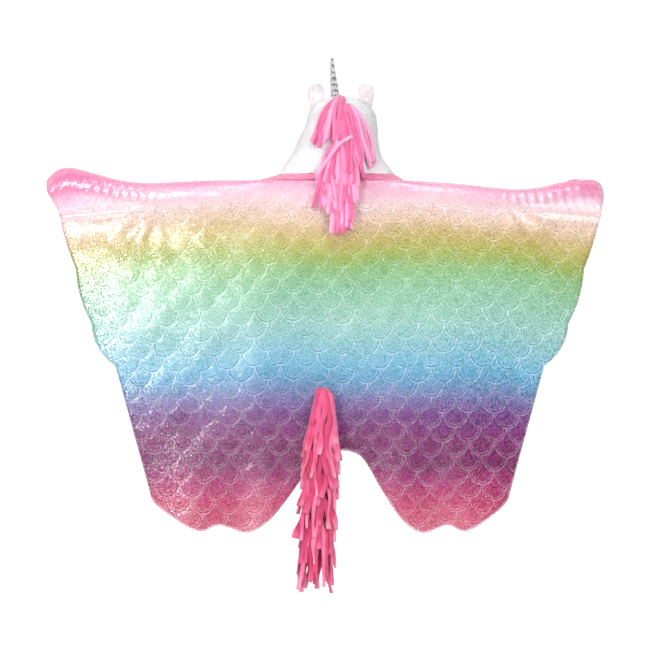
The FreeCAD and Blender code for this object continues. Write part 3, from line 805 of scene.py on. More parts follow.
@dataclass
class CapeOutline:
    """The cape's cut edge as it hangs, in x and z."""

    neck_half_width: float = 0.150  # The top edge is straight this far from the centre back.
    half_span: float = 0.600  # Wing tip to centre back.
    # How much further out each hand is held.
    reach: dict[Side, float] = field(default_factory=lambda: {Side.LEFT: 0.011, Side.RIGHT: -0.012})
    # How much higher each hand is held.
    lift: dict[Side, float] = field(default_factory=lambda: {Side.LEFT: 0.013, Side.RIGHT: -0.013})
    reach_start: float = 0.430  # The hands' reach is taken up beyond this x.
    # x, z and share of the hand's lift along the shoulder and round the hand.
    top: Table = (
        (0.270, -0.004, 0.25), (0.388, -0.012, 0.5), (0.450, -0.007, 0.6), (0.502, 0.006, 0.75),
        (0.552, 0.015, 1.0), (0.584, 0.009, 0.7), (0.600, -0.016, 0.35))
    seam_end: Flat = (0.584, -0.069)  # Where the hand pocket's seam meets the edge.
    # Crest and valley of each scallop down the side.
    scallops: tuple[tuple[Flat, Flat], ...] = (
        ((0.566, -0.138), (0.546, -0.190)), ((0.541, -0.231), (0.512, -0.307)),
        ((0.501, -0.352), (0.460, -0.398)))
    side_end: Flat = (0.391, -0.650)  # Where the side's straight run ends.
    # The two scallops of one tail of the hem, from the side to the arch.
    hem: tuple[Flat, ...] = (
        (0.379, -0.688), (0.345, -0.718), (0.287, -0.751), (0.243, -0.739), (0.190, -0.755),
        (0.150, -0.735), (0.119, -0.700), (0.087, -0.653), (0.066, -0.619), (0.040, -0.589))
    arch_top: Flat = (0.022, -0.579)  # Top of the arch between the two tails.
    spacing: float = 0.0032  # Between two points of the finished edge.

    def top_points(self, side: Side) -> list[Flat]:
        """Points of the top edge from the neck round the hand, with x counted outward.

        Args:
            side: Which half.

        Returns:
            X and z of each.
        """
        points = [(self.neck_half_width, 0.0)]
        for x, z, share in self.top:
            out = max(0.0, (x - self.reach_start) / (self.half_span - self.reach_start))
            points.append((x + self.reach[side] * out, z + self.lift[side] * share))
        return points

    def half(self, side: Side) -> Array:
        """One half's closed edge, from the top of the centre back round to its foot and up again.

        Args:
            side: Which half.

        Returns:
            Flat points at an even spacing.
        """
        top = smooth_curve(self.top_points(side) + [self.seam_end], 12)
        runs = [np.array([(0.0, 0.0), top[0]]), top]
        start = self.seam_end
        for crest, valley in self.scallops:
            runs.append(arc_through(start, crest, valley, 12))
            start = valley
        runs.append(np.array([start, self.side_end]))
        outward = np.vstack(runs) * (side.value, 1)
        tail = [(side.value * self.side_end[0], self.side_end[1])]
        for i, (x, z) in enumerate(self.hem):
            shift = self.arch_top[0] * i / (len(self.hem) - 1)
            tail.append((side.value * x + shift, z))
        other = (-side.value * self.hem[-1][0] + self.arch_top[0], self.hem[-1][1])
        hem = smooth_curve(tail + [self.arch_top, other], 12)
        crossing = np.argmax(hem[:, 0] * side.value < 0)
        before, after = hem[crossing - 1], hem[crossing]
        share = before[0] / (before[0] - after[0])
        foot = before + (after - before) * share
        hem = np.vstack([hem[:crossing], foot])
        edge = spaced_evenly(np.vstack([outward, hem[1:]]), self.spacing)
        back_up = spaced_evenly(np.array([foot, (0.0, 0.0)]), self.spacing)
        return np.vstack([edge, back_up[1:-1]])

    def hem_only(self, side: Side) -> Array:
        """One half's edge without the centre line."""
        edge = self.half(side)
        return edge[:int(np.argmax((np.abs(edge[:, 0]) < 1e-9) & (edge[:, 1] < -0.1))) + 1]


def inside(points: Array, edge: Array) -> Array:
    """Whether each flat point is inside a closed edge.

    Args:
        points: Flat points.
        edge: Corners of the edge.

    Returns:
        One truth value for each point.
    """
    held = np.zeros(len(points), bool)
    for (x0, z0), (x1, z1) in zip(edge, np.roll(edge, -1, axis=0)):
        if z0 == z1:
            continue
        crosses = (z0 > points[:, 1]) != (z1 > points[:, 1])
        held ^= crosses & (points[:, 0] < x0 + (points[:, 1] - z0) * (x1 - x0) / (z1 - z0))
    return held


def inset_edge(edge: Array, depth: float, closed: bool) -> Array:
    """A flat edge moved inward by a depth, for an edge whose inside is on its right or left.

    Args:
        edge: The edge's points.
        depth: How far it moves.
        closed: Whether its end joins its start.

    Returns:
        The moved points.
    """
    ahead = np.roll(edge, -1, axis=0) - np.roll(edge, 1, axis=0)
    if not closed:
        ahead[0] = edge[1] - edge[0]
        ahead[-1] = edge[-1] - edge[-2]
    ahead /= np.linalg.norm(ahead, axis=1, keepdims=True)
    normal = np.column_stack([-ahead[:, 1], ahead[:, 0]])
    before = np.roll(edge, 1, axis=0)
    turn = np.sum(before[:, 0] * edge[:, 1] - edge[:, 0] * before[:, 1])
    return edge + normal * depth * (1 if turn > 0 else -1)


def way_to(line: Array, flat: Array) -> Array:
    """How far each flat point is from the nearest point of a line.

    Args:
        line: Points of the line.
        flat: The flat points.

    Returns:
        One distance for each.
    """
    tree = KDTree(len(line))
    for number, (x, z) in enumerate(line):
        tree.insert((x, z, 0), number)
    tree.balance()
    return np.array([tree.find((x, z, 0))[2] for x, z in flat])


@dataclass
class Drape:
    """How the cape hangs from two spread arms: the y of its seam line at each x and z."""

    outline: CapeOutline  # The cape's edge.
    seam_y: float = -0.012  # Where foil and lining meet at the centre back.
    radius: float = 4.5  # The wings sweep forward on this radius.
    # The arms begin to push the cloth this far out, and do so fully at the second value.
    arm_start: Flat = (0.10, 0.24)
    arm_bulge: float = 0.009  # How far they push it back.
    arm_depth: float = 0.030  # From the top edge down to the arms' middle.
    arm_height: float = 0.034  # How high the bulge is.
    hollow: float = 0.008  # How far the cloth falls back in under the arms.
    hollow_depth: float = 0.115  # From the top edge down to that hollow.
    hollow_height: float = 0.052  # How high the hollow is.
    edge_curl: Flat = (0.011, 0.007)  # How far the top edge curls forward, and how far down the curl reaches.
    # Rise, x, lean and width of each broad fold that falls from the arms.
    folds: Table = (
        (0.010, 0.02, 0.0, 0.13), (-0.006, 0.33, 0.1, 0.08), (-0.006, -0.40, 0.12, 0.11))
    hem_wave: Flat = (0.006, 0.21)  # Depth and length of the hem's waves.
    seam_mouth: Flat = (0.425, -0.058)  # Inner end of a hand pocket's seam, with x counted outward.
    lobe: Flat = (0.535, -0.022)  # Middle of the bulge that the hand makes, with x counted outward.
    pucker: float = 0.0030  # Height of the gathers along the pocket's seam.
    pucker_pitch: float = 0.021  # From one gather to the next.

    def base(self, x: Array) -> Array:
        """The wings' even sweep."""
        return self.seam_y + self.radius - np.sqrt(self.radius ** 2 - x ** 2)

    def top_z(self, x: Array) -> Array:
        """Height of the top edge at x.

        Args:
            x: Places across the cape.

        Returns:
            One height for each.
        """
        heights = np.zeros_like(x)
        for side in Side:
            points = np.array([(0.0, 0.0)] + self.outline.top_points(side))
            here = x * side.value > 0
            heights[here] = np.interp(x[here] * side.value, points[:, 0], points[:, 1])
        return heights

    def at(self, flat: Array) -> Array:
        """Y of the seam line at each flat point.

        Args:
            flat: X and z of each point.

        Returns:
            One y for each.
        """
        x, z = flat[:, 0], flat[:, 1]
        out = np.abs(x)
        depth = self.top_z(x) - z
        on_arm = smooth_step(*self.arm_start, out)
        y = self.base(x)
        curl, reach = self.edge_curl
        y += curl * np.exp(-np.maximum(depth, 0) / reach) * (0.15 + 0.85 * on_arm)
        y -= self.arm_bulge * bell(depth - self.arm_depth, self.arm_height) * (0.3 + 0.7 * on_arm)
        y += self.hollow * bell(depth - self.hollow_depth, self.hollow_height) * (0.7 + 0.3 * on_arm)
        y += self.long_folds(x, z, depth)
        for side in Side:
            y += self.pocket_folds(x * side.value, z, side)
        y += 0.0007 * Ripple(0.13, 3).at(flat) * smooth_step(0.0, 0.10, depth)
        y += 0.00015 * Ripple(0.045, 4).at(flat)
        return y

    def long_folds(self, x: Array, z: Array, depth: Array) -> Array:
        """Broad folds that fall from the arms, and the curl of the hem.

        Args:
            x: Across the cape.
            z: Height.
            depth: From the top edge down.

        Returns:
            What they add to y.
        """
        falling = smooth_step(0.08, 0.30, depth)
        y = np.zeros_like(x)
        for rise, place, lean, width in self.folds:
            y += rise * bell(x - place - lean * z, width) * falling
        low = smooth_step(-0.52, -0.74, z) * smooth_step(0.10, 0.20, np.abs(x))
        wave, pitch = self.hem_wave
        return y + wave * np.sin(2 * np.pi * (x / pitch + 0.15)) * low

    def pocket_folds(self, out: Array, z: Array, side: Side) -> Array:
        """The hand's bulge in a wing tip, the pocket's seam and the creases that start from it.

        Args:
            out: X counted outward.
            z: Height.
            side: Which half.

        Returns:
            What they add to y.
        """
        here = smooth_step(0.30, 0.42, out)
        run = np.clip((out - self.seam_mouth[0]) / (self.outline.seam_end[0] - self.seam_mouth[0]), -0.6, 1.2)
        seam_z = self.seam_mouth[1] + run * (self.outline.seam_end[1] - self.seam_mouth[1])
        seam_z = seam_z + 0.030 * np.clip(-run, 0, 1)
        above = z - seam_z
        sewn = smooth_step(0.385, 0.45, out)
        y = -0.010 * np.exp(-((out - self.lobe[0]) / 0.075) ** 2 - ((z - self.lobe[1]) / 0.045) ** 2)
        gathers = np.cos(2 * np.pi * (out + 0.25 * above) / self.pucker_pitch)
        inner = bell(out - 0.475, 0.075)
        y = y - self.pucker * gathers * np.exp(-np.clip(above, 0, 1) / 0.030) * (above > 0) * inner
        y = y + 0.0045 * bell(above, 0.0045) * sewn - 0.002 * bell(above + 0.010, 0.006) * sewn
        angle = np.arctan2(z - self.seam_mouth[1] - 0.02, out - self.seam_mouth[0] + 0.06)
        away = np.hypot(z - self.seam_mouth[1], out - self.seam_mouth[0])
        radial = np.sin(13 * angle + (0.6 if side is Side.LEFT else 0.0)) * np.exp(-away / 0.13)
        y = y + 0.0020 * radial * smooth_step(0.0, -0.03, above) * here
        return y * smooth_step(0.22, 0.34, out)


@dataclass
class Cape(SubAssembly):
    """The printed foil plush, its fleece lining and the stitching round the edge."""

    outline: CapeOutline  # The cape's edge.
    drape: Drape  # How it hangs.
    foil_thickness: float = 0.0022  # Of the printed plush.
    lining_thickness: float = 0.0016  # Of the lining.
    edge_turn: float = 0.004  # Width of the rolled edge.
    hem_back: float = 0.010  # How far the edge is turned in at the front.
    lining_inset: float = 0.007  # From the edge to the lining.
    lining_spacing: float = 0.008  # Between two points of the lining.
    dome: float = 0.0005  # Height of one embossed scale's middle.
    stitch_inset: float = 0.0055  # From the edge to the hem's stitches.
    stitch_pitch: float = 0.0050  # From one stitch to the next.
    stitch_radius: float = 0.00055  # Of the thread.
    bend: float = 0.055  # Half of a width at each wing.
    print_sag: float = 0.030  # How much lower the print's bands run at the wing tips.

    def cloth_value(self, flat: Array, from_edge: Array) -> Array:
        """Flat cloth coordinates for the print and the embossing, and the way in from the edge.

        Args:
            flat: X and z of each point.
            from_edge: Way in from the cut edge.

        Returns:
            Three values for each point.
        """
        out = np.abs(flat[:, 0])
        sag = self.print_sag * smooth_step(0.28, 0.60, out)
        wide = 0.006 * Ripple(0.30, 8).at(flat)
        return np.column_stack([flat[:, 0] + 0.5 * wide, flat[:, 1] + sag + wide, from_edge])

    def emboss(self, cloth: Array) -> Array:
        """Height of the embossed scales.

        Args:
            cloth: Cloth coordinates.

        Returns:
            One height for each.
        """
        width, step = FoilPlush.scale_width, FoilPlush.scale_step
        rows = cloth[:, 1] / step
        row = np.floor(rows)
        up = rows - row
        across = (cloth[:, 0] / width + (row % 2) * 0.5) % 1.0
        side = 2 * (across - 0.5)
        reach = np.hypot(side, 1 - up)
        corner = np.hypot(1 - np.abs(side), up)
        return self.dome * np.where(reach <= 1, 1 - reach ** 2, 1 - np.minimum(corner, 1) ** 2)

    def sheet(self, side: Side, spacing: float, inset: float) -> tuple[Array, list, Array]:
        """Triangles over one half of the cape.

        Args:
            side: Which half.
            spacing: Between two points.
            inset: From the cut edge to the sheet's own edge.

        Returns:
            Flat points, triangles, and each point's way in from the cut edge.
        """
        edge = self.outline.half(side)
        if inset:
            moved = inset_edge(edge, inset, closed=True)
            centre = np.abs(edge[:, 0]) < 1e-9
            moved[centre, 0] = 0.0
            moved[:, 0] = np.where(moved[:, 0] * side.value < 0, 0.0, moved[:, 0])
            edge = moved[::2]
        low, high = edge.min(axis=0), edge.max(axis=0)
        xs = np.arange(low[0] + spacing / 2, high[0], spacing)
        zs = np.arange(low[1] + spacing / 2, high[1], spacing * 0.87)
        grid = np.array([(x + (spacing / 2 if row % 2 else 0), z) for row, z in enumerate(zs) for x in xs])
        grid = grid[inside(grid, edge)]
        grid = grid[way_to(edge, grid) > 0.55 * spacing]
        points = np.vstack([edge, grid])
        done = delaunay_2d_cdt([Vector(p) for p in points], [], [list(range(len(edge)))], 1, 1e-7)
        flat = np.array([tuple(p) for p in done[0]])
        faces = [tuple(face) for face in done[2]]
        return flat, faces, way_to(self.outline.hem_only(side), flat)

    def foil_y(self, flat: Array, from_edge: Array) -> Array:
        """Y of the foil's outer face, rolled over at the edge.

        Args:
            flat: X and z of each point.
            from_edge: Way in from the cut edge.

        Returns:
            One y for each.
        """
        cloth = self.cloth_value(flat, from_edge)
        inner = np.clip((self.edge_turn - from_edge) / self.edge_turn, 0, 1)
        roll = (self.foil_thickness + 0.0014) * (1 - np.sqrt(1 - inner ** 2))
        return self.drape.at(flat) - self.foil_thickness - self.emboss(cloth) * (1 - inner) + roll

    def foil(self, side: Side) -> Piece:
        """One half of the foil plush with its rolled and turned-in edge.

        Args:
            side: Which half.

        Returns:
            The piece.
        """
        flat, faces, from_edge = self.sheet(side, self.outline.spacing, 0.0)
        making = Making()
        points = np.column_stack([flat[:, 0], self.foil_y(flat, from_edge), flat[:, 1]])
        making.add(points, faces, cloth=self.cloth_value(flat, from_edge))
        self.turn_in(making, side)
        piece = making.piece("cape_foil_" + side.word, self.finishes.foil)
        self.even_normals(piece)
        return piece

    def turn_in(self, making: Making, side: Side) -> None:
        """The edge's fold to the front, as a band of its own that starts on the rolled edge.

        Args:
            making: What the band is added to.
            side: Which half.
        """
        edge = self.outline.hem_only(side)
        bands, values = [], []
        for depth, forward in ((0.0, 0.0), (0.0012, 0.0016), (0.004, 0.0022), (self.hem_back, 0.0020)):
            flat = inset_edge(edge, depth, closed=False)
            flat[:, 0] = np.where(flat[:, 0] * side.value < 0, 0.0, flat[:, 0])
            y = self.foil_y(edge, np.zeros(len(edge))) + forward
            bands.append(np.column_stack([flat[:, 0], y, flat[:, 1]]))
            values.append(self.cloth_value(edge, np.full(len(edge), 0.002)))
        faces = grid_faces(len(bands), len(edge), closed=False)
        making.add(np.vstack(bands), faces, cloth=np.vstack(values))

    def even_normals(self, piece: Piece) -> None:
        """Makes the shading run on across the centre line, where the two halves meet.

        Args:
            piece: One half of the foil.
        """
        mesh = piece.data
        step = 0.0015
        count = len(mesh.vertices)
        place = np.empty(count * 3)
        mesh.vertices.foreach_get("co", place)
        place = place.reshape(-1, 3)
        normals = np.array([tuple(n.vector) for n in mesh.vertex_normals])
        centre = np.abs(place[:, 0]) < 1e-6
        flat = place[centre][:, [0, 2]]
        far = np.full(len(flat), 1.0)
        slope_x = (self.foil_y(flat + (step, 0), far) - self.foil_y(flat - (step, 0), far)) / (2 * step)
        slope_z = (self.foil_y(flat + (0, step), far) - self.foil_y(flat - (0, step), far)) / (2 * step)
        true = np.column_stack([slope_x, -np.ones(len(flat)), slope_z])
        normals[centre] = true / np.linalg.norm(true, axis=1, keepdims=True)
        mesh.normals_split_custom_set_from_vertices(normals.tolist())

    def lining(self, side: Side) -> Piece:
        """One half of the lining.

        Args:
            side: Which half.

        Returns:
            The piece.
        """
        flat, faces, _ = self.sheet(side, self.lining_spacing, self.lining_inset)
        points = np.column_stack([flat[:, 0], self.drape.at(flat) + 0.0004, flat[:, 1]])
        piece = Making().add(points, faces).piece("cape_lining_" + side.word, self.finishes.lining)
        thicken(piece, self.lining_thickness, 1.0 if piece.data.polygons[0].normal.y > 0 else -1.0)
        return piece

    def stitches(self, side: Side) -> Piece:
        """The hem's row of stitches.

        Args:
            side: Which half.

        Returns:
            The piece.
        """
        edge = spaced_evenly(self.outline.hem_only(side), 0.001)
        edge = inset_edge(edge, self.stitch_inset, closed=False)
        line = spaced_evenly(edge[5:-5], self.stitch_pitch / 2)
        making = Making()
        radius = self.stitch_radius
        y = self.foil_y(line, np.full(len(line), self.stitch_inset)) - 0.0002
        dashes = np.column_stack([line[:, 0], y, line[:, 1]])
        for start, end in zip(dashes[0::2], dashes[1::2]):
            along = (end - start) / np.linalg.norm(end - start)
            across = np.cross(along, (0, 1, 0))
            up = np.array((0.0, -1.0, 0.0))
            rings = []
            for share, size in ((0.0, 0.3), (0.2, 1.0), (0.8, 1.0), (1.0, 0.3)):
                centre = start + (end - start) * share + up * radius * (0.6 * size - 0.3)
                rings.append([centre + radius * size * (math.cos(a) * across + math.sin(a) * up)
                              for a in np.linspace(0, 2 * np.pi, 6, endpoint=False)])
            making.tube(np.array(rings))
        return making.piece("hem_stitches_" + side.word, self.finishes.hem_thread)

    def build(self) -> None:
        """Makes both halves and hides the parts that they replace."""
        for side in Side:
            foil, lining, stitches = self.foil(side), self.lining(side), self.stitches(side)
            for piece, slot in ((foil, "foil_plush"), (lining, "cape_lining"), (stitches, "foil_plush")):
                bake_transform(piece)
            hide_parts("cape_back_centre", side.word + "_wing_outer")
            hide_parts("cape_lining_centre", side.word + "_wing_lining")
            flat = self.outline.half(side)


# ================================================================ hand pockets
@dataclass
class HandPocket(SubAssembly):
    """The fleece pocket on the inside of a wing tip, which the hand goes into."""

    drape: Drape  # How the cape hangs.
    # Way out along the wing, lower edge, upper edge and share of the full rise.
    sections: Table = (
        (0.430, -0.060, -0.020, 0.80), (0.480, -0.064, -0.008, 1.0), (0.530, -0.066, 0.008, 1.0),
        (0.568, -0.064, 0.002, 0.80), (0.588, -0.046, -0.014, 0.34), (0.591, -0.036, -0.024, 0.02))
    rise: float = 0.030  # Room for the hand.
    thickness: float = 0.0020  # Of the fleece.
    gather: float = 0.0014  # Depth of the creases along the sewn edge.
    gather_pitch: float = 0.013  # From one crease to the next.
    hem: float = 0.007  # Width of the mouth's hem.
    flat: Flat = (0.165, 0.105)  # Flat size of a pocket's pattern piece.
    area: float = 0.0150  # Cloth in it.

    def face(self, side: Side, grow: float) -> Array:
        """Grid of points over the pocket, grown outward from its inner face.

        Args:
            side: Which wing.
            grow: How far the grid stands out from the inner face.

        Returns:
            Rows of points, from the mouth to the tip.
        """
        line = smooth_curve(self.sections, 12)
        outline = self.drape.outline
        along = np.linspace(0, 1, len(line))
        turn = np.linspace(-math.pi / 2, math.pi / 2, 45)
        rows = []
        for (out, low, high, full), share in zip(line, along):
            x = np.full(len(turn), side.value * (out + outline.reach[side] * share))
            half = (high - low) / 2 - self.thickness + grow
            z = (low + high) / 2 + outline.lift[side] * share + max(half, 0.001) * np.sin(turn)
            crease = self.gather * np.sin(2 * math.pi * x / self.gather_pitch)
            crease = crease * np.abs(np.sin(2 * turn)) * np.abs(np.sin(turn))
            way_in = np.full(len(turn), out - line[0, 0])
            hem = 0.0012 * smooth_step(self.hem + 0.001, self.hem - 0.001, way_in)
            room = max(self.rise * full - self.thickness, 0.0) + grow
            lift = (room + crease + (hem if grow else 0.0)) * np.maximum(np.cos(turn), 0.0) ** 0.8
            rows.append(np.column_stack([x, self.drape.at(np.column_stack([x, z])) + 0.0021 + lift, z]))
        return np.array(rows)

    def build(self) -> None:
        """Makes both pockets."""
        for side in Side:
            making = Making().shell(self.face(side, self.thickness), self.face(side, 0.0))
            piece = making.piece(f"{side.word}_pocket_fleece", self.finishes.lining, closed=True)
            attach(piece, f"{side.word}_wing")
            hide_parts(f"{side.word}_hand_pocket")


# ================================================================ hood and yoke
@dataclass
class HoodForm:
    """The hood's outer face, upright on the yoke, and its face opening."""

    # Height, centre x, half width, back y and front y of each oval.
    sections: Table = (
        (0.014, 0.014, 0.127, -0.012, 0.118), (0.027, 0.014, 0.118, -0.016, 0.124),
        (0.045, 0.013, 0.105, -0.022, 0.132), (0.062, 0.014, 0.095, -0.027, 0.140),
        (0.090, 0.017, 0.086, -0.031, 0.148), (0.118, 0.023, 0.079, -0.029, 0.150),
        (0.143, 0.025, 0.074, -0.018, 0.140), (0.158, 0.025, 0.066, -0.005, 0.126),
        (0.169, 0.025, 0.054, 0.010, 0.112), (0.177, 0.025, 0.039, 0.025, 0.098),
        (0.182, 0.025, 0.024, 0.040, 0.083), (0.184, 0.024, 0.014, 0.048, 0.075),
        (0.1849, 0.021, 0.007, 0.0545, 0.0685), (0.1852, 0.018, 0.0008, 0.0611, 0.0623))
    seam_x: float = 0.018  # The centre seam.
    face_x: float = 0.019  # Middle of the face opening.
    face_z: float = 0.064  # Its height.
    face_half_width: float = 0.060  # Half its width.
    face_half_height: float = 0.070  # Half its height.
    binding: float = 0.009  # Width of the band sewn round it.
    plush: float = 0.004  # Thickness of the plush.
    lining: float = 0.002  # Thickness of the lining.
    blend_top: float = 0.070  # A height above the hood's foot.

    def __post_init__(self) -> None:
        """Runs a smooth line through the sections."""
        self.line = smooth_curve(self.sections, 12)

    def settle(self, piece: Piece, slot: str) -> None:
        """Bakes a piece's place into its points.

        Args:
            piece: A piece of the hood.
            slot: Its finish; not used.
        """
        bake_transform(piece)

    def oval(self, z: Array) -> Array:
        """Centre x, half width, back y and front y at each height."""
        z = np.atleast_1d(z)
        return np.column_stack([np.interp(z, self.line[:, 0], self.line[:, k]) for k in range(1, 5)])

    def surface(self, z: Array, angle: Array, inset: Array) -> Array:
        """Points at heights and at angles from straight ahead, set in from the outer face.

        Args:
            z: Heights.
            angle: Turn from straight ahead.
            inset: From the outer face inward.

        Returns:
            One point for each height.
        """
        centre, half, back, front = self.oval(z).T
        deep = np.maximum((front - back) / 2 - inset, 1e-5)
        wide = np.maximum(half - inset, 1e-5)
        return np.column_stack([centre + wide * np.sin(angle), (back + front) / 2 + deep * np.cos(angle),
                                np.minimum(z, self.line[-1, 0] - inset)])

    def back_y(self, x: Array, z: Array) -> Array:
        """Y of the back at each x and height.

        Args:
            x: Places across.
            z: Heights.

        Returns:
            One y for each.
        """
        centre, half, back, front = self.oval(z).T
        across = np.clip((x - centre) / half, -0.96, 0.96)
        return (back + front) / 2 - (front - back) / 2 * np.sqrt(1 - across ** 2)

    def front_y(self, x: Array, z: Array, inset: float) -> Array:
        """Y of the front at each x and height, set in from the outer face.

        Args:
            x: Places across.
            z: Heights.
            inset: From the outer face inward.

        Returns:
            One y for each.
        """
        centre, half, back, front = self.oval(z).T
        across = np.clip((x - centre) / (half - inset), -0.97, 0.97)
        return (back + front) / 2 + ((front - back) / 2 - inset) * np.sqrt(1 - across ** 2)

    def half_grid(self, side: Side, inset: float, tufts: float, rows: int = 84, columns: int = 84) -> Array:
        """One side of the hood as a grid of points, from the face opening to the back seam.

        Args:
            side: Which side.
            inset: Set in from the outer face.
            tufts: Height of the pile's unevenness.
            rows: Rows round the opening's height, with a quarter more above it.
            columns: Points in each row.

        Returns:
            The points, row by row from the foot to the crown.
        """
        grown_w = self.face_half_width + self.binding * 0.6
        grown_h = self.face_half_height + self.binding * 0.6
        foot = math.asin((self.sections[0][0] - self.face_z) / grown_h)
        turn = np.linspace(foot, math.pi / 2, rows)
        heights = self.face_z + grown_h * np.sin(turn)
        opening = grown_w * np.cos(turn)
        above = self.line[self.line[:, 0] > heights[-1] + 0.001, 0]
        heights = np.r_[heights, above]
        opening = np.r_[opening, np.zeros(len(above))]
        centre, half, _, _ = self.oval(heights).T
        edge_x = np.where(opening > 0.001, self.face_x + side.value * opening, self.seam_x)
        start = np.arcsin(np.clip((edge_x - centre) / half, -1, 1))
        seam = math.pi - np.arcsin(np.clip((self.seam_x - centre) / half, -1, 1))
        if side is Side.LEFT:
            seam = seam - 2 * math.pi
        share = np.linspace(0, 1, columns)[None, :]
        angle = start[:, None] + (seam - start)[:, None] * share
        z = np.broadcast_to(heights[:, None], angle.shape)
        flat = self.surface(z.ravel(), angle.ravel(), np.full(angle.size, inset))
        if tufts:
            uneven = Ripple(0.011, 21).at(flat) + 0.7 * Ripple(0.005, 22).at(flat)
            slack = 2.6 * tufts * Ripple(0.07, 23).at(flat)
            rounding = 0.0016 * np.exp(-np.minimum(share, 1 - share) * 60) * np.ones_like(angle)
            flat = self.surface(z.ravel(), angle.ravel(), inset - tufts * uneven - slack + rounding.ravel())
        return flat.reshape(angle.shape + (3,))


@dataclass
class Hood(SubAssembly):
    """The white plush hood: two sides, their lining, the binding and the eyes."""

    form: HoodForm  # Its outer face.
    tufts: float = 0.0005  # Height of the pile's unevenness.
    half_flat: Flat = (0.285, 0.235)  # Flat size of one side's pattern piece.
    half_area: float = 0.0460  # Cloth in it.
    lining_flat: Flat = (0.270, 0.225)  # Flat size of one side's lining.
    lining_area: float = 0.0420  # Cloth in it.
    binding_flat: Flat = (0.019, 0.350)  # Flat size of the binding.
    eye_x: float = 0.044  # Middle of an eye from the crown's.
    eye_z: float = 0.153  # Its height.
    eye_radius: float = 0.012  # Of the closed lid's curve.
    lash: float = 0.007  # Length of a lash.
    crown_x: float = 0.024  # Middle of the crown.

    def side(self, side: Side) -> None:
        """One side's plush and lining.

        Args:
            side: Which side.
        """
        form = self.form
        plush = Making().shell(form.half_grid(side, 0.0, self.tufts),
                               form.half_grid(side, form.plush - 0.0003, 0.0))
        piece = plush.piece(f"hood_{side.word}_plush", self.finishes.plush, closed=True)
        form.settle(piece, "hood_plush")
        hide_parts(f"hood_{side.word}_outer")
        lining = Making().shell(form.half_grid(side, form.plush, 0.0, 50, 50),
                                form.half_grid(side, form.plush + form.lining, 0.0, 50, 50))
        piece = lining.piece(f"hood_{side.word}_fleece", self.finishes.hood_lining, closed=True)
        form.settle(piece, "hood_lining")
        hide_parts(f"hood_{side.word}_lining")

    def bind(self) -> None:
        """The band folded over the edge of the face opening."""
        form = self.form
        lowest = form.sections[0][0] + 0.001 - form.face_z
        foot = math.asin(lowest / (form.face_half_height + form.binding / 2))
        rings = []
        deep = form.plush + form.lining + 0.003
        for turn in np.linspace(foot, math.pi - foot, 150):
            ring = []
            for a in np.linspace(0, 2 * math.pi, 16, endpoint=False):
                grow = form.binding * (0.5 + 0.5 * math.copysign(abs(math.cos(a)) ** 0.6, math.cos(a)))
                sunk = math.copysign(abs(math.sin(a)) ** 0.6, math.sin(a))
                inset = -0.0015 + deep * (0.5 + 0.5 * sunk)
                x = form.face_x + (form.face_half_width + grow) * math.cos(turn)
                z = max(form.face_z + (form.face_half_height + grow) * math.sin(turn), form.sections[0][0])
                ring.append((x, form.front_y(np.array([x]), np.array([z]), inset)[0], z))
            rings.append(ring)
        piece = Making().tube(np.array(rings)).piece("face_binding", self.finishes.hood_lining, closed=True)
        form.settle(piece, "hood_binding")
        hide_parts("hood_face_binding")

    def eyes(self) -> None:
        """Closed eyes in satin stitch: a drooping line and three lashes each."""
        for side in Side:
            making = Making()
            centre = np.array([self.crown_x + side.value * self.eye_x, self.eye_z])
            lines = []
            droop = np.linspace(math.pi * 1.02, math.pi * 1.98, 52)
            lines.append([(centre[0] + self.eye_radius * math.cos(a) * 0.95,
                           centre[1] + self.eye_radius * math.sin(a) * 0.95) for a in droop])
            for angle in (30, 65, 100):
                turn = -math.radians(angle if side is Side.RIGHT else 180 - angle)
                way = np.array([math.cos(turn), math.sin(turn)])
                lines.append([tuple(centre + way * reach) for reach in
                              np.linspace(self.eye_radius, self.eye_radius + self.lash, 14)])
            for width, line in zip((0.0030, 0.0016, 0.0016, 0.0016), lines):
                self.satin(making, np.array(line), width)
            piece = making.piece(f"{side.word}_eye_satin", self.finishes.eye_thread)
            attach(piece, "hood")
            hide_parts(f"{side.word}_eye")

    def satin(self, making: Making, line: Array, width: float) -> None:
        """Close stitches laid across a line on the hood's front.

        Args:
            making: What the stitches are added to.
            line: X and z along the line.
            width: Length of a stitch.
        """
        ahead = np.gradient(line, axis=0)
        ahead /= np.linalg.norm(ahead, axis=1, keepdims=True)
        for place, way in zip(line, ahead):
            across = np.array([-way[1], way[0]])
            rings = []
            for share, high in ((-0.5, 0.1), (-0.35, 0.7), (0.0, 1.0), (0.35, 0.7), (0.5, 0.1)):
                x, z = place + across * width * share
                y = self.form.front_y(np.array([x]), np.array([z]), -0.0006 * high)[0]
                ring = []
                for a in np.linspace(0, 2 * math.pi, 6, endpoint=False):
                    off = way * 0.00042 * math.cos(a)
                    ring.append((x + off[0], y + 0.0004 * math.sin(a), z + off[1]))
                rings.append(ring)
            making.tube(np.array(rings))

    def build(self) -> None:
        """Makes the hood."""
        for side in Side:
            self.side(side)
        self.bind()
        self.eyes()


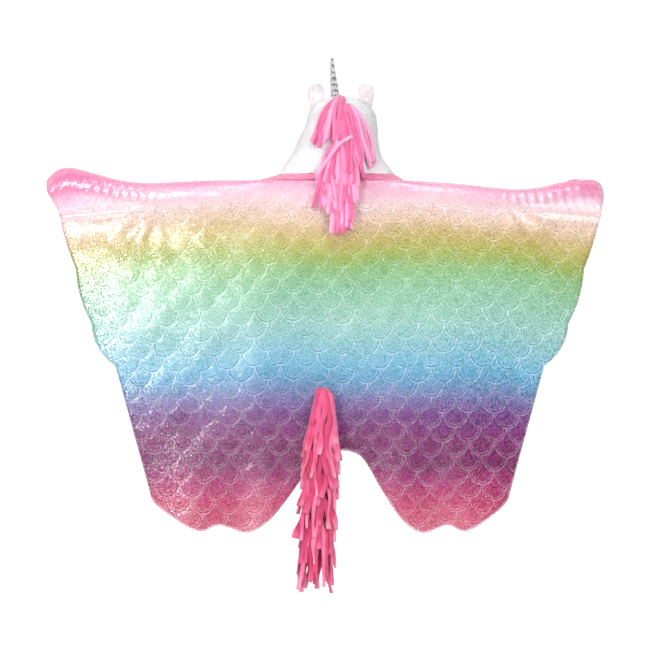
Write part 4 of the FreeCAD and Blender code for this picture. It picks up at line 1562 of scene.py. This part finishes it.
@dataclass
class Yoke(SubAssembly):
    """The pink band between cape and hood, its lining and the throat closure."""

    form: HoodForm  # The hood's form, which the yoke runs up to.
    half_width: float = 0.160  # Half its width along the cape's top edge.
    back_y: float = -0.0142  # Its back along that edge.
    front_y: float = 0.127  # Its front.
    squareness: float = 5.0  # Superellipse power of its lower edge.
    gap: float = 0.008  # Half the opening at the throat.
    high: float = 0.0136  # Its upper edge.
    outer_ply: float = 0.0022  # Thickness of its outer fleece.
    lining_ply: float = 0.0016  # Thickness of its lining.
    flat: Flat = (0.720, 0.040)  # Flat size of its pattern piece.
    area: float = 0.0200  # Cloth in it.

    def ring(self, share: float, inset: float, columns: int) -> Array:
        """Evenly spaced points round the yoke, from the throat's right edge to its left.

        Args:
            share: Of the yoke's height, from the cape up.
            inset: From the outer face inward.
            columns: How many points.

        Returns:
            The points.
        """
        _, centre, half, back, front = self.form.sections[0]
        angles = np.linspace(0, 2 * math.pi, 2401)
        sine, cosine = np.sin(angles), np.cos(angles)
        power = 2 / self.squareness
        lower = np.column_stack([
            (self.half_width - inset) * np.sign(sine) * np.abs(sine) ** power,
            (self.back_y + self.front_y) / 2
            + ((self.front_y - self.back_y) / 2 - inset) * np.sign(cosine) * np.abs(cosine) ** power])
        upper = np.column_stack([centre + (half - inset) * sine,
                                 (back + front) / 2 + ((front - back) / 2 - inset) * cosine])
        lower, upper = spaced_evenly(lower, 0.0004), spaced_evenly(upper, 0.0004)
        kept = []
        for line in (lower, upper):
            ahead = line[:, 1] > self.front_y / 2
            clear = ~(ahead & (np.abs(line[:, 0] - self.form.face_x) < self.gap))
            turned = np.roll(line, -int(np.argmin(clear)), axis=0)
            clear = np.roll(clear, -int(np.argmin(clear)))
            line = turned[clear]
            places = np.linspace(0, len(line) - 1, columns)
            numbers = np.arange(len(line))
            kept.append(np.column_stack([np.interp(places, numbers, line[:, k]) for k in (0, 1)]))
        flat = kept[0] + (kept[1] - kept[0]) * share
        return np.column_stack([flat, np.full(columns, self.high * share)])

    def ply(self, inset: float, thickness: float, free: float) -> tuple[Array, Array]:
        """Outer and inner grids of one ply.

        Args:
            inset: From the outer face inward.
            thickness: Of the ply.
            free: How far it puffs and creases.

        Returns:
            The outer grid and the inner one.
        """
        outer, inner = [], []
        for share in np.linspace(0, 1, 11):
            ring = self.ring(share, inset, 420)
            under = self.ring(share, inset + thickness, 420)
            way = ring - under
            way /= np.linalg.norm(way, axis=1, keepdims=True)
            pressed = smooth_step(0.052, 0.038, np.abs(ring[:, 0] - 0.028)) * (ring[:, 1] > 0.1)
            wrinkle = free * (1 - 0.9 * pressed)
            puff = wrinkle * (4 * share * (1 - share) * 0.8 - 0.5 * (1 - share) ** 6 - 0.4 * share ** 6)
            creases = wrinkle * 0.35 * Ripple(0.024, 31).at(ring * (1, 1, 2.0)) * 4 * share * (1 - share)
            outer.append(ring + way * (puff + creases)[:, None])
            inner.append(under)
        return np.array(outer), np.array(inner)

    def strap(self, ends: Flat, shares: Flat, stand: Flat, thick: float,
              corner: float) -> tuple[Array, Array]:
        """Outer and inner grids of a flat piece with rounded corners that lies along the throat.

        Args:
            ends: X of its ends.
            shares: Its lower and upper edge, as shares of the yoke's height.
            stand: How far its inner face stands off the yoke at the first end and past its seam.
            thick: Its thickness.
            corner: Radius of its free corners.

        Returns:
            The outer grid and the inner one.
        """
        xs = np.linspace(*ends, 60)
        across = np.linspace(-1, 1, 13)
        outer, inner = [], []
        middle, half = sum(shares) / 2, (shares[1] - shares[0]) / 2
        fronts = []
        for share in np.linspace(0, 1, 9):
            ring = self.ring(share, 0.0, 420)
            ring = ring[ring[:, 1] > 0.09]
            order = np.argsort(ring[:, 0])
            fronts.append(np.interp(xs, ring[order, 0], ring[order, 1]))
        for number, x in enumerate(xs):
            near = max(0.0, 1 - (ends[1] - x) / corner)
            tall = half * (1 - 0.55 * (1 - math.sqrt(max(0.0, 1 - near ** 2))))
            high = middle + across * tall
            y = np.interp(high, np.linspace(0, 1, 9), [front[number] for front in fronts])
            y = y + stand[0] + (stand[1] - stand[0]) * smooth_step(0.012, 0.034, np.array(x))
            toward_end = abs(2 * (x - ends[0]) / (ends[1] - ends[0]) - 1)
            full = 0.35 + 0.65 * (1 - np.maximum(np.abs(across), toward_end) ** 12)
            outer.append(np.column_stack([np.full(13, x), y + thick * full, high * self.high]))
            inner.append(np.column_stack([np.full(13, x), y, high * self.high]))
        return np.array(outer), np.array(inner)

    def closure(self) -> None:
        """The throat's tab and its hook and loop patches."""
        pink, white = self.finishes.yoke, self.finishes.closure
        patch = (0.024, 0.0105)
        patch_ends, patch_shares = (0.0358, 0.0598), (0.13, 0.91)
        for name, node, body, slot, finish, rests, flat, grids in (
                ("throat_tab_fleece", "throat_tab", "throat_tab", "yoke_fleece", pink, "neck_yoke_outer",
                 (0.066, 0.0122), self.strap((-0.005, 0.061), (0.08, 0.96), (0.0004, 0.0028), 0.0030, 0.006)),
                ("throat_hooks", "throat_hook_patch", "throat_tab", "hook_and_loop", white, "throat_tab",
                 patch, self.strap(patch_ends, patch_shares, (0.0016, 0.0016), 0.0012, 0.002)),
                ("throat_loops", "throat_loop_patch", "cape_back", "hook_and_loop", white, "neck_yoke_outer",
                 patch, self.strap(patch_ends, patch_shares, (0.0003, 0.0003), 0.0012, 0.002))):
            piece = Making().shell(*grids).piece(name, finish, closed=True)
            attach(piece, body)
            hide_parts(node)

    def build(self) -> None:
        """Makes the yoke, its lining and the closure."""
        self.closure()
        for name, node, slot, finish, sizes in (
                ("neck_yoke_fleece", "neck_yoke_outer", "yoke_fleece", self.finishes.yoke,
                 (0.0, self.outer_ply, 0.0026)),
                ("neck_yoke_backing", "neck_yoke_lining", "cape_lining", self.finishes.lining,
                 (self.outer_ply, self.lining_ply, 0.0))):
            piece = Making().shell(*self.ply(*sizes)).piece(name, finish, closed=True)
            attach(piece, "cape_back")
            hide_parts(node)


# ================================================================ horn and ears
@dataclass
class Horn(SubAssembly):
    """The stuffed silver horn, wound into a spiral."""

    foot: Point = (0.0118, 0.0924, 0.1762)  # Middle of its foot.
    tip: Point = (0.004, 0.108, 0.2715)  # Its tip.
    foot_radius: float = 0.0115  # Its radius at the foot.
    tip_radius: float = 0.0032  # And at the tip.
    turns: float = 7.0  # Of the spiral.
    ridge: float = 0.13  # Height of the spiral's roll, as a share of the radius.
    foot_slope: float = 0.15  # How much lower the foot's front sits, over its depth, to follow the hood.
    soft_foot: float = 0.014  # A length above the horn's foot.
    cloth: float = 0.0008  # Thickness of the cover.
    flat: Flat = (0.075, 0.095)  # Flat size of the cover's pattern piece.
    area: float = 0.0046  # Cloth in it.

    def build(self) -> None:
        """Makes the cover and its wadding."""
        foot, tip = np.array(self.foot), np.array(self.tip)
        axis = tip - foot
        length = np.linalg.norm(axis)
        axis /= length
        side = np.cross(axis, (0, 1, 0))
        side /= np.linalg.norm(side)
        ahead = np.cross(side, axis)
        rings, grooves = [], []
        steps = 190
        for i in range(steps + 1):
            along = i / steps
            radius = self.foot_radius + (self.tip_radius - self.foot_radius) * along ** 0.92
            cap = math.sqrt(max(0.0, 1 - max(0.0, (along - 0.98) / 0.02) ** 2))
            ring = []
            for a in np.linspace(0, 2 * math.pi, 36, endpoint=False):
                phase = (a / (2 * math.pi) - self.turns * along ** 0.9) % 1.0
                roll = abs(math.sin(math.pi * phase)) ** 0.7
                grooves.append(1 - roll)
                wrinkle = 0.03 * math.sin(9 * a + 40 * along) * math.sin(55 * along + a)
                reach = radius * (1 - self.ridge + 1.6 * self.ridge * roll + wrinkle) * max(cap, 0.05)
                seated = self.foot_slope * reach * math.sin(a) * max(0.0, 1 - along / 0.12)
                ring.append(foot + axis * (length * along - seated) + side * reach * math.cos(a)
                            + ahead * reach * math.sin(a))
            rings.append(ring)
        making = Making().tube(np.array(rings), open_foot=True, groove=np.array(grooves))
        piece = making.piece("horn_silver", self.finishes.horn, closed=True)
        thicken(piece, self.cloth)
        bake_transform(piece)
        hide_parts("horn_cover")
        share = np.linspace(0.02, 0.96, 40)
        radii = (self.foot_radius + (self.tip_radius - self.foot_radius) * share ** 0.92) * (1 - self.ridge)
        radii = (radii - self.cloth - 0.0003) * (1 - 0.05 * np.abs(np.sin(31 * share)))
        centres = foot + axis * (length * share)[:, None]
        rings = oval_rings(centres, side, ahead, np.column_stack([radii, radii]), 1.0)
        piece = Making().tube(rings).piece("horn_wadding", self.finishes.stuffing, closed=True)
        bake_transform(piece)
        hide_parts("horn_stuffing")


@dataclass
class Ears(SubAssembly):
    """Two curled ears of plush with a smooth pink inner face."""

    crown_x: float = 0.024  # Middle of the crown.
    apart: float = 0.0495  # From there to each ear.
    foot_y: float = 0.064  # Y of the ears' backs.
    foot_z: float = 0.160  # Height of their feet.
    length: float = 0.052  # Of an ear.
    half_width: float = 0.0205  # Half of its greatest width.
    curl: float = 0.030  # Radius that it is curled to.
    splay: float = 8.0  # Lean outward, in degrees.
    plush: float = 0.004  # Thickness of the outer ply.
    lining: float = 0.0018  # Thickness of the inner one.
    lining_inset: float = 0.004  # From the outer ply's edge to the inner one's.
    # Share of the length and of the half width, from the foot to the tip.
    profile: tuple[Flat, ...] = ((0.0, 0.86), (0.3, 0.96), (0.55, 1.0), (0.75, 0.93), (0.88, 0.74),
                                 (0.96, 0.46), (1.0, 0.14))
    flat: Flat = (0.040, 0.056)  # Flat size of an outer ply.
    area: float = 0.0019  # Cloth in it.
    lining_flat: Flat = (0.032, 0.050)  # Flat size of an inner ply.
    lining_area: float = 0.00110  # Cloth in it.

    def ply(self, side: Side, half_width: float, length: float, outer: float, thick: float,
            fluff: float) -> tuple[Array, Array]:
        """Outer and inner grids of one ply of an ear.

        Args:
            side: Which ear.
            half_width: Half its width.
            length: Of the ply.
            outer: Radius of its outer face.
            thick: Its thickness.
            fluff: Height of its pile.

        Returns:
            The outer grid and the inner one.
        """
        line = smooth_curve(self.profile, 8)
        shares, widths = line[:, 0], line[:, 1]
        turn = math.radians(side.value * self.splay)
        pivot = np.array([self.crown_x + side.value * self.apart, self.foot_y - self.plush, self.foot_z])
        grids = []
        reach = half_width / self.curl
        out = side.value * self.curl * np.sin(np.linspace(-reach, reach, 33))
        foot = 0.0085 - 0.68 * out - 12.0 * out ** 2
        for radius, high in ((outer, fluff), (outer - thick, 0.0)):
            rows = []
            for share, width in zip(shares, widths):
                spread = half_width * width / self.curl
                angles = np.linspace(-spread, spread, 33)
                edge = np.clip(1 - np.abs(np.linspace(-1, 1, 33)) ** 8, 0, 1)
                middle = outer - thick / 2
                reach = middle + (radius - middle) * edge
                points = np.column_stack([reach * np.sin(angles), self.curl - reach * np.cos(angles),
                                          foot + (length - foot) * share])
                if high:
                    uneven = high / self.curl * Ripple(0.008, 41).at(points)
                    points += (points - (0, self.curl, 0)) * uneven[:, None]
                turned = points.copy()
                turned[:, 0] = points[:, 0] * math.cos(turn) + points[:, 2] * math.sin(turn)
                turned[:, 2] = -points[:, 0] * math.sin(turn) + points[:, 2] * math.cos(turn)
                rows.append(turned + pivot)
            grids.append(np.array(rows))
        return grids[0], grids[1]

    def build(self) -> None:
        """Makes both ears."""
        plies = (("plush", "outer", "lining", "hood_plush", self.finishes.ear_plush, self.flat, self.area,
                  (self.half_width, self.length, self.curl, self.plush, 0.0006)),
                 ("inside", "lining", "outer", "ear_lining", self.finishes.ear_lining, self.lining_flat,
                  self.lining_area, (self.half_width - self.lining_inset, self.length - self.lining_inset,
                                     self.curl - self.plush - 0.0002, self.lining, 0.0)))
        for side in Side:
            body = side.word + "_ear"
            for name, node, other, slot, finish, flat, area, sizes in plies:
                piece = Making().shell(*self.ply(side, *sizes)).piece(f"{body}_{name}", finish, closed=True)
                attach(piece, body)
                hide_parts(f"{body}_{node}")


# ================================================================ fringe
@dataclass(frozen=True)
class FringeCut:
    """The cross-section of a cut fleece strip."""

    width: float  # Of a strip.
    thickness: float = 0.0024  # Of the fleece.
    cup: float = 0.0010  # How far a strip's middle stands above its edges.

    def rings(self, path: Array, facing: Array, widths: Array, twist: Array) -> Array:
        """Rings of points round a strip.

        Args:
            path: The strip's middle line.
            facing: The way its outer face looks, at each point of the line.
            widths: Share of its full width there.
            twist: Turn about its own line there, in radians.

        Returns:
            One ring for each point of the line.
        """
        ahead = np.gradient(path, axis=0)
        ahead /= np.linalg.norm(ahead, axis=1, keepdims=True)
        up = facing - ahead * np.sum(facing * ahead, axis=1, keepdims=True)
        up /= np.linalg.norm(up, axis=1, keepdims=True)
        side = np.cross(ahead, up)
        turned_side = side * np.cos(twist)[:, None] + up * np.sin(twist)[:, None]
        turned_up = up * np.cos(twist)[:, None] - side * np.sin(twist)[:, None]
        half, thick = self.width / 2, self.thickness / 2
        outline = [(-1.0, 0.0), (-0.86, 0.8), (-0.4, 1.0), (0.0, 1.0), (0.4, 1.0), (0.86, 0.8)]
        outline += [(-across, -high) for across, high in outline]
        rings = []
        for across, high in outline:
            wide = half * across * widths
            rise = thick * high + self.cup * (0.5 - across ** 2) * widths
            rings.append(path + turned_side * wide[:, None] + turned_up * rise[:, None])
        return np.array(rings).transpose(1, 0, 2)


@dataclass
class Mane(SubAssembly):
    """Six rows of fleece fringe down the hood's centre seam, and the tape behind them."""

    form: HoodForm  # The hood's form.
    # Heading's height, fall at the left and at the right end, and x of both ends from the seam.
    rows: Table = (
        (0.1835, 0.112, 0.112, -0.062, 0.016), (0.162, 0.150, 0.130, 0.014, 0.086),
        (0.125, 0.142, 0.134, -0.058, 0.068), (0.095, 0.150, 0.140, -0.060, 0.050),
        (0.064, 0.140, 0.150, -0.042, 0.036), (0.033, 0.142, 0.150, -0.018, 0.026))
    # X of each heading's middle from the seam, and its width.
    roots: tuple[Flat, ...] = ((0.004, 0.022), (0.019, 0.030), (0.004, 0.020), (0.0, 0.020),
                               (0.0, 0.022), (0.0, 0.024))
    gather_z: float = 0.080  # Height down to which the lower rows stay gathered.
    strips: int = 14  # In each row.
    cut: FringeCut = FringeCut(0.0102, 0.0034, 0.0018)  # A strip's cross-section.
    flare: float = 0.10  # How fast a row stands off as it falls.
    seed: int = 61  # Which unevenness it has.
    root: float = 0.0030  # How far the lowest layer of strips stands off the hood.
    # X from the seam and height of the one strip that crosses over the others.
    crossing: tuple[Flat, ...] = ((0.030, 0.092), (0.018, 0.085), (0.002, 0.075), (-0.014, 0.055),
                                  (-0.030, 0.032), (-0.048, 0.004))
    bend: float = 0.030  # A length below each row's heading.
    tape_ends: Flat = (0.0205, 0.180)  # Height of the tape's lower and upper end.
    tape_half_width: float = 0.006  # Half its width.

    def path(self, row: int, fraction: float, layer: int, draw: np.random.Generator) -> Array:
        """One strip's middle line.

        Args:
            row: Number of the row.
            fraction: Place in the row, from 0 to 1.
            layer: 0 for the lowest layer.
            draw: Where its unevenness comes from.

        Returns:
            Points from the heading down.
        """
        heading, fall_left, fall_right, left, right = self.rows[row]
        fall = fall_left + (fall_right - fall_left) * fraction
        fall *= 1 + draw.uniform(-0.130, 0.06)
        jitter = draw.uniform(-0.005, 0.005)
        bow = draw.uniform(0.0, 0.007)
        wave, phase = draw.uniform(-0.0044, 0.0044), draw.uniform(0, 2 * math.pi)
        share = np.linspace(0, 1, 20)
        middle, spread = self.roots[row]
        x_top = self.form.seam_x + middle + (fraction - 0.5) * spread
        x_end = self.form.seam_x + left + (right - left) * fraction + jitter
        away = np.sign(x_end - x_top)
        z = heading - fall * share ** 1.08 - 0.010 * (2 * fraction - 1) ** 2 * (1 - share)
        freed = np.clip((min(heading, self.gather_z) - z) / (min(heading, self.gather_z) - z[-1]), 0, 1)
        opened = freed ** 0.85 if row > 1 else share ** 0.85
        x = x_top + (x_end - x_top) * opened + away * bow * np.sin(np.pi * opened)
        x = x + wave * np.sin(2.2 * np.pi * share + phase) * smooth_step(0.05, 0.4, share)
        return self.laid(x, z, self.root + 0.0024 * layer, self.flare * fall * share)

    def laid(self, x: Array, z: Array, stand: float, away: Array) -> Array:
        """A line over the hood and the cape, off them by a stand and by what it flares.

        Args:
            x: Places across.
            z: Heights, from the top down.
            stand: Off the hood.
            away: What each point flares.

        Returns:
            The line's points.
        """
        y = np.empty_like(z)
        for i in range(len(z)):
            on_hood = self.form.back_y(np.array([x[i]]), np.array([max(z[i], 0.014)]))[0]
            if z[i] < 0.014:
                on_hood = min(on_hood, -0.022)
            target = on_hood - stand - away[i]
            slack = 0.0 if i == 0 else y[i - 1] + 0.30 * math.dist((x[i], z[i]), (x[i - 1], z[i - 1]))
            y[i] = target if i == 0 else min(target, slack)
        y[1:-1] = (y[:-2] + 2 * y[1:-1] + y[2:]) / 4
        return np.column_stack([x, y, z])

    def row(self, index: int) -> None:
        """One row of strips.

        Args:
            index: Number of the row, from 0.
        """
        draw = np.random.default_rng(self.seed + index)
        making = Making()
        name = f"mane_row_{index + 1}"
        for number in range(self.strips):
            fraction = (number + 0.5) / self.strips
            layer = number % 3
            path = self.path(index, fraction, 2 - layer if index % 2 else layer, draw)
            share = np.linspace(0, 1, len(path))
            widths = np.clip(0.55 + share / 0.22 * 0.45, 0, 1) * draw.uniform(0.84, 1.10)
            widths[-1] *= 0.72
            twist = draw.normal(0, 0.35) * share + draw.normal(0, 0.8) * smooth_step(0.6, 1.0, share)
            lean = draw.normal(0, 0.12)
            facing = np.tile((lean, -1.0, 0.0), (len(path), 1))
            # A random shade value picks the strip's colour between painted shade and painted highlight.
            making.tube(self.cut.rings(path, facing, widths, twist), shade=draw.uniform(0, 1))
        if index == 2:
            line = smooth_curve(self.crossing, 4)
            path = self.laid(line[:, 0] + self.form.seam_x, line[:, 1], 0.020, np.zeros(len(line)))
            facing = np.tile((0.0, -1.0, 0.0), (len(path), 1))
            twist = np.linspace(-0.8, 0.3, len(path))
            making.tube(self.cut.rings(path, facing, np.full(len(path), 0.85), twist), shade=0.95)
        piece = making.piece(name + "_fringe", self.finishes.mane, closed=True)
        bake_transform(piece)
        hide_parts(name)

    def tape(self) -> None:
        """The tape down the centre seam."""
        heights = np.linspace(*self.tape_ends, 60)
        across = np.linspace(-self.tape_half_width, self.tape_half_width, 9)
        grids = []
        for stand in (0.0016, -0.0004):
            rows = []
            for z in heights:
                x = self.form.seam_x + across
                rounded = stand * np.clip(1 - (np.abs(across) / 0.0062) ** 6, 0, 1)
                y = self.form.back_y(x, np.full(len(x), z)) - rounded
                rows.append(np.column_stack([x, y, np.full(len(x), z)]))
            grids.append(np.array(rows))
        piece = Making().shell(*grids, shade=0.5).piece("mane_tape_woven", self.finishes.mane, closed=True)
        self.form.settle(piece, "fringe_fleece")
        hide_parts("mane_tape")

    def build(self) -> None:
        """Makes the rows and the tape."""
        for index in range(len(self.rows)):
            self.row(index)
        self.tape()


@dataclass
class Tail(SubAssembly):
    """Tiers of wide fleece strips round a rolled core, on a patch on the cape's back."""

    top: Flat = (-0.017, -0.449)  # Where the tail hangs from.
    cape_y: float = -0.0142  # Y of the cape's outer face there.
    tiers: int = 6  # How many tiers of strips.
    spacing: float = 0.055  # From one tier to the next.
    fall: float = 0.152  # Length of a strip.
    strips: int = 15  # In each tier.
    top_half_width: float = 0.0165  # Half its width at the top.
    half_width: float = 0.0385  # Half its width once it is full.
    full_at: float = 0.150  # How far down it is full.
    depth: float = 0.66  # Its depth over its width.
    drift: float = -0.016  # How far its foot hangs to the left.
    bend: float = 0.030  # A length below the tail's top.
    cut: FringeCut = FringeCut(0.0128, 0.0036, 0.0024)  # A strip's cross-section.
    seed: int = 83  # Which unevenness it has.

    def radius(self, fall: Array, tier: int) -> Array:
        """Half width of a tier's ring at a fall below the top.

        Args:
            fall: How far below the top.
            tier: Number of the tier, from 0.

        Returns:
            One half width for each fall.
        """
        full = self.top_half_width + (self.half_width - self.top_half_width) * smooth_step(
            -0.02, self.full_at, fall)
        under = tier - np.maximum(0.0, (fall - self.fall) / self.spacing)
        return full - 0.0050 * np.maximum(under, 0)

    def axis(self, fall: Array) -> Array:
        """The tail's middle line at each fall.

        Args:
            fall: How far below the top.

        Returns:
            One point for each fall.
        """
        x = self.top[0] + 0.005 * smooth_step(0.12, 0.0, fall) + self.drift * smooth_step(0.10, 0.42, fall)
        deep = self.radius(np.minimum(fall, self.full_at), 0) * self.depth
        return np.column_stack([x, self.cape_y - 0.006 - deep, self.top[1] - fall])

    def strip(self, making: Making, tier: int, number: int, draw: np.random.Generator) -> float:
        """Adds one strip and gives its length.

        Args:
            making: What the strip is added to.
            tier: Number of the tier, from 0.
            number: Of the strip.
            draw: Where its unevenness comes from.

        Returns:
            The strip's length.
        """
        angle = 2 * math.pi * (number + 0.5 * (tier % 2) + draw.uniform(-0.22, 0.22)) / self.strips
        long = self.fall * draw.uniform(0.74, 1.04)
        share = np.linspace(0, 1, 22)
        start = self.spacing * tier
        fall = start + long * share
        arch = 0.45 + 0.55 * smooth_step(0, 0.2, share)
        if tier == 0:
            arch = np.sin(np.pi / 2 * np.clip(share / 0.10, 0, 1))
            fall = fall - 0.004 * (1 - share / 0.10).clip(0, 1) ** 2
        reach = self.radius(fall, tier) * arch * draw.uniform(0.94, 1.03)
        flick = draw.uniform(-0.2, 1.0) ** 3 * 0.010 * smooth_step(0.72, 1.0, share)
        swing = draw.normal(0, 0.20) * smooth_step(0.2, 1.0, share)
        wag = draw.normal(0, 0.14) * np.sin(7 * share + draw.uniform(0, 6))
        bearing = angle + (swing + wag * smooth_step(0.0, 0.3, share))
        middle = self.axis(fall)
        out = np.column_stack([np.sin(bearing), -np.cos(bearing) * self.depth, np.zeros_like(share)])
        path = middle + out * (reach + flick)[:, None]
        path[:, 1] = np.minimum(path[:, 1], self.cape_y - 0.0035 - 0.0065 * smooth_step(0.060, 0.010, fall))
        facing = np.column_stack([np.sin(bearing) * self.depth, -np.cos(bearing), np.zeros_like(share)])
        twist = draw.normal(0, 0.45) * share + draw.normal(0, 1.3) * smooth_step(0.55, 1.0, share)
        widths = np.clip(0.62 + share / 0.2 * 0.4, 0, 1) * draw.uniform(0.80, 1.15)
        # Painted highlight: the shade value rises over each strip's last fifth, on top of a random shade
        # value, so the cut ends are painted paler.
        shade = np.clip(draw.uniform(0.0, 0.75) + 0.45 * smooth_step(0.80, 1.0, share), 0, 1)
        making.tube(self.cut.rings(path, facing, widths, twist), shade=np.repeat(shade, 12))
        return float(np.sum(np.linalg.norm(np.diff(path, axis=0), axis=1)))

    def root(self) -> None:
        """The patch on the cape, the stub that the tail hangs from and its rolled core."""
        x, z = self.top[0], self.top[1] - 0.007
        sides = np.array(((1.0, 0, 0), (0, 0, 1.0), (0, 1.0, 0)))
        fall = np.linspace(0.014, 0.262, 60)
        patch = [(0.0004, 0.0150, 0.0120), (-0.0012, 0.0150, 0.0120), (-0.0019, 0.0140, 0.0110)]
        stub = [(-0.0022, 0.0070, 0.0070), (-0.0070, 0.0064, 0.0062), (-0.0125, 0.0056, 0.0052)]
        core = np.column_stack([0.0078 + 0.0004 * np.sin(90 * fall), np.full(60, 0.0026)])
        for name, node, body, held, flat, rests, rings in (
                ("tail_patch_fleece", "tail_patch", "cape_back", "laid", (0.030, 0.024), "cape_back_centre",
                 oval_rings(np.array([(x, self.cape_y + y, z) for y, _, _ in patch]), sides[0], sides[1],
                            np.array(patch)[:, 1:], 0.6)),
                ("tail_neck_fleece", "tail_neck", "tail_neck", "folded", (0.041, 0.0103), "tail_patch",
                 oval_rings(np.array([(x, self.cape_y + y, z) for y, _, _ in stub]), sides[0], sides[1],
                            np.array(stub)[:, 1:], 0.7)),
                ("tail_core_fleece", "tail_core", "tail", "folded", (0.021, 0.250), "tail_neck",
                 oval_rings(self.axis(fall), sides[0], sides[2], core, 0.75))):
            piece = Making().tube(rings, shade=0.35).piece(name, self.finishes.tail, closed=True)
            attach(piece, body)
            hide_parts(node)

    def build(self) -> None:
        """Makes the tiers and the core."""
        self.root()
        for tier in range(self.tiers):
            draw = np.random.default_rng(self.seed + tier)
            making = Making()
            length = sum(self.strip(making, tier, number, draw) for number in range(self.strips))
            piece = making.piece(f"tail_row_{tier + 1}_fringe", self.finishes.tail, closed=True)
            if tier == 0:
                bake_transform(piece)
            else:
                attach(piece, "tail")
            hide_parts(f"tail_row_{tier + 1}")


# ================================================================ studio
@dataclass
class Studio:
    """Pale floor and backdrop, soft lamps and the camera behind the cape."""

    frame_width: float = 1.391  # Width of what the camera sees at the cape.
    middle: Flat = (-0.0107, -0.3103)  # Middle of the view, in x and z.
    distance: float = 6.0  # From the camera to the cape.
    floor_z: float = -1.50  # Height of the floor.
    surroundings: float = 0.09  # Brightness of the surroundings.

    def build(self) -> None:
        """Makes the stage."""
        self.backdrop()
        self.world()
        self.lamp("key", (-1.45, -3.0, 0.20), (0.0, 0.0, -0.25), 0.75, 28.0, True)
        self.lamp("fill", (1.30, -3.0, 0.10), (0.1, 0.0, -0.3), 0.8, 50.0)
        self.lamp("side", (-3.6, -1.8, 1.5), (0.0, 0.0, -0.25), 1.8, 66.0)
        self.lamp("front", (0.9, 3.2, 1.3), (0.0, 0.0, -0.2), 1.6, 70.0)
        self.lamp("rim", (0.0, 0.5, 2.6), (0.0, 0.0, 0.0), 1.6, 20.0)
        self.lamp("overhead", (0.3, -3.4, 2.6), (0.0, 0.0, -0.1), 1.2, 24.0, True)
        self.lamp("upper", (0.0, -2.6, 2.4), (0.0, 0.0, -0.1), 1.6, 30.0)
        self.camera()

    def camera(self) -> None:
        """The camera, level and straight behind."""
        data = bpy.data.cameras.new("camera")
        data.sensor_width = 36.0
        data.lens = data.sensor_width * self.distance / self.frame_width
        made = put_in_scene("camera", data)
        made.location = (self.middle[0], -self.distance, self.middle[1])
        made.rotation_euler = (math.radians(90), 0, 0)
        bpy.context.scene.camera = made

    def lamp(self, name: str, place: Point, aim: Point, size: float, power: float,
             mirrored: bool = False) -> None:
        """One square soft lamp; only a mirrored one glints in the foil.

        Args:
            name: What it is called.
            place: Where it stands.
            aim: Where it looks.
            size: Its side.
            power: In watts.
            mirrored: Whether glossy pieces show it.
        """
        data = bpy.data.lights.new(name, "AREA")
        data.size = size
        data.energy = power
        made = put_in_scene(name, data)
        made.location = place
        made.rotation_euler = (Vector(aim) - Vector(place)).to_track_quat("-Z", "Y").to_euler()
        made.visible_camera = False
        made.visible_glossy = mirrored

    def backdrop(self) -> None:
        """A floor that curves up into a wall."""
        profile = [(-1.6, self.floor_z), (6.0, self.floor_z), (8.0, self.floor_z + 0.25),
                   (9.2, self.floor_z + 1.2), (9.8, self.floor_z + 3.0), (10.0, self.floor_z + 12.0)]
        line = smooth_curve(profile, 12)
        rows = np.array([[(x, y, z) for y, z in line] for x in (-14.0, 14.0)])
        making = Making().add(rows.reshape(-1, 3), grid_faces(2, len(line), closed=False))
        g = Surface("stage_paper")
        g.set(Base_Color=srgb(244, 244, 244), Roughness=0.95, Specular_IOR_Level=0.1)
        away = g.split(g.place())[1]
        strength = g.range(away, 1.0, 4.0, 0.80, 1.0)
        glow = g.node("Emission", {"Color": (1.0, 1.0, 1.0, 1.0), "Strength": strength})
        path = g.node("LightPath", {})
        seen = g.math("MAXIMUM", path.outputs["Is Camera Ray"], path.outputs["Is Glossy Ray"])
        seen = g.math("MAXIMUM", seen, path.outputs["Is Transmission Ray"])
        both = g.node("AddShader", {0: g.surface.outputs[0], 1: glow.outputs[0]})
        mixed = g.node("MixShader", {0: seen, 1: g.surface.outputs[0], 2: both.outputs[0]})
        g.tree.links.new(mixed.outputs[0], g.output.inputs[0])
        making.piece("backdrop", g.material)

    def world(self) -> None:
        """Even, soft surroundings, seen as white, and mirrored as white on the backdrop's side."""
        world = bpy.data.worlds.new("surroundings")
        world.use_nodes = True
        glow = world.node_tree.nodes["Background"]
        glow.inputs["Color"].default_value = (1.0, 1.0, 1.0, 1.0)
        g = Graph(world.node_tree)
        path = g.node("LightPath", {})
        toward = g.split(g.node("TexCoord", {}).outputs["Generated"])[1]
        mirrored = g.times(path.outputs["Is Glossy Ray"], g.range(toward, -0.40, 0.0, 0.0, 1.0))
        seen = g.math("MAXIMUM", path.outputs["Is Camera Ray"], path.outputs["Is Transmission Ray"])
        seen = g.math("MAXIMUM", seen, mirrored)
        g.feed(glow.inputs["Strength"], g.math("MAXIMUM", seen, self.surroundings))
        bpy.context.scene.world = world
        bpy.context.scene.view_settings.view_transform = "Standard"


def main() -> None:
    """Builds every sub-assembly in order."""
    logging.basicConfig(level=logging.INFO, format="%(name)s: %(message)s")
    finishes = Finishes()
    Studio().build()
    outline = CapeOutline()
    drape = Drape(outline)
    form = HoodForm()
    Cape(finishes, outline, drape).build()
    HandPocket(finishes, drape).build()
    Hood(finishes, form).build()
    Yoke(finishes, form).build()
    Horn(finishes).build()
    Ears(finishes).build()
    Mane(finishes, form).build()
    Tail(finishes).build()


if __name__ == "__main__":
    main()
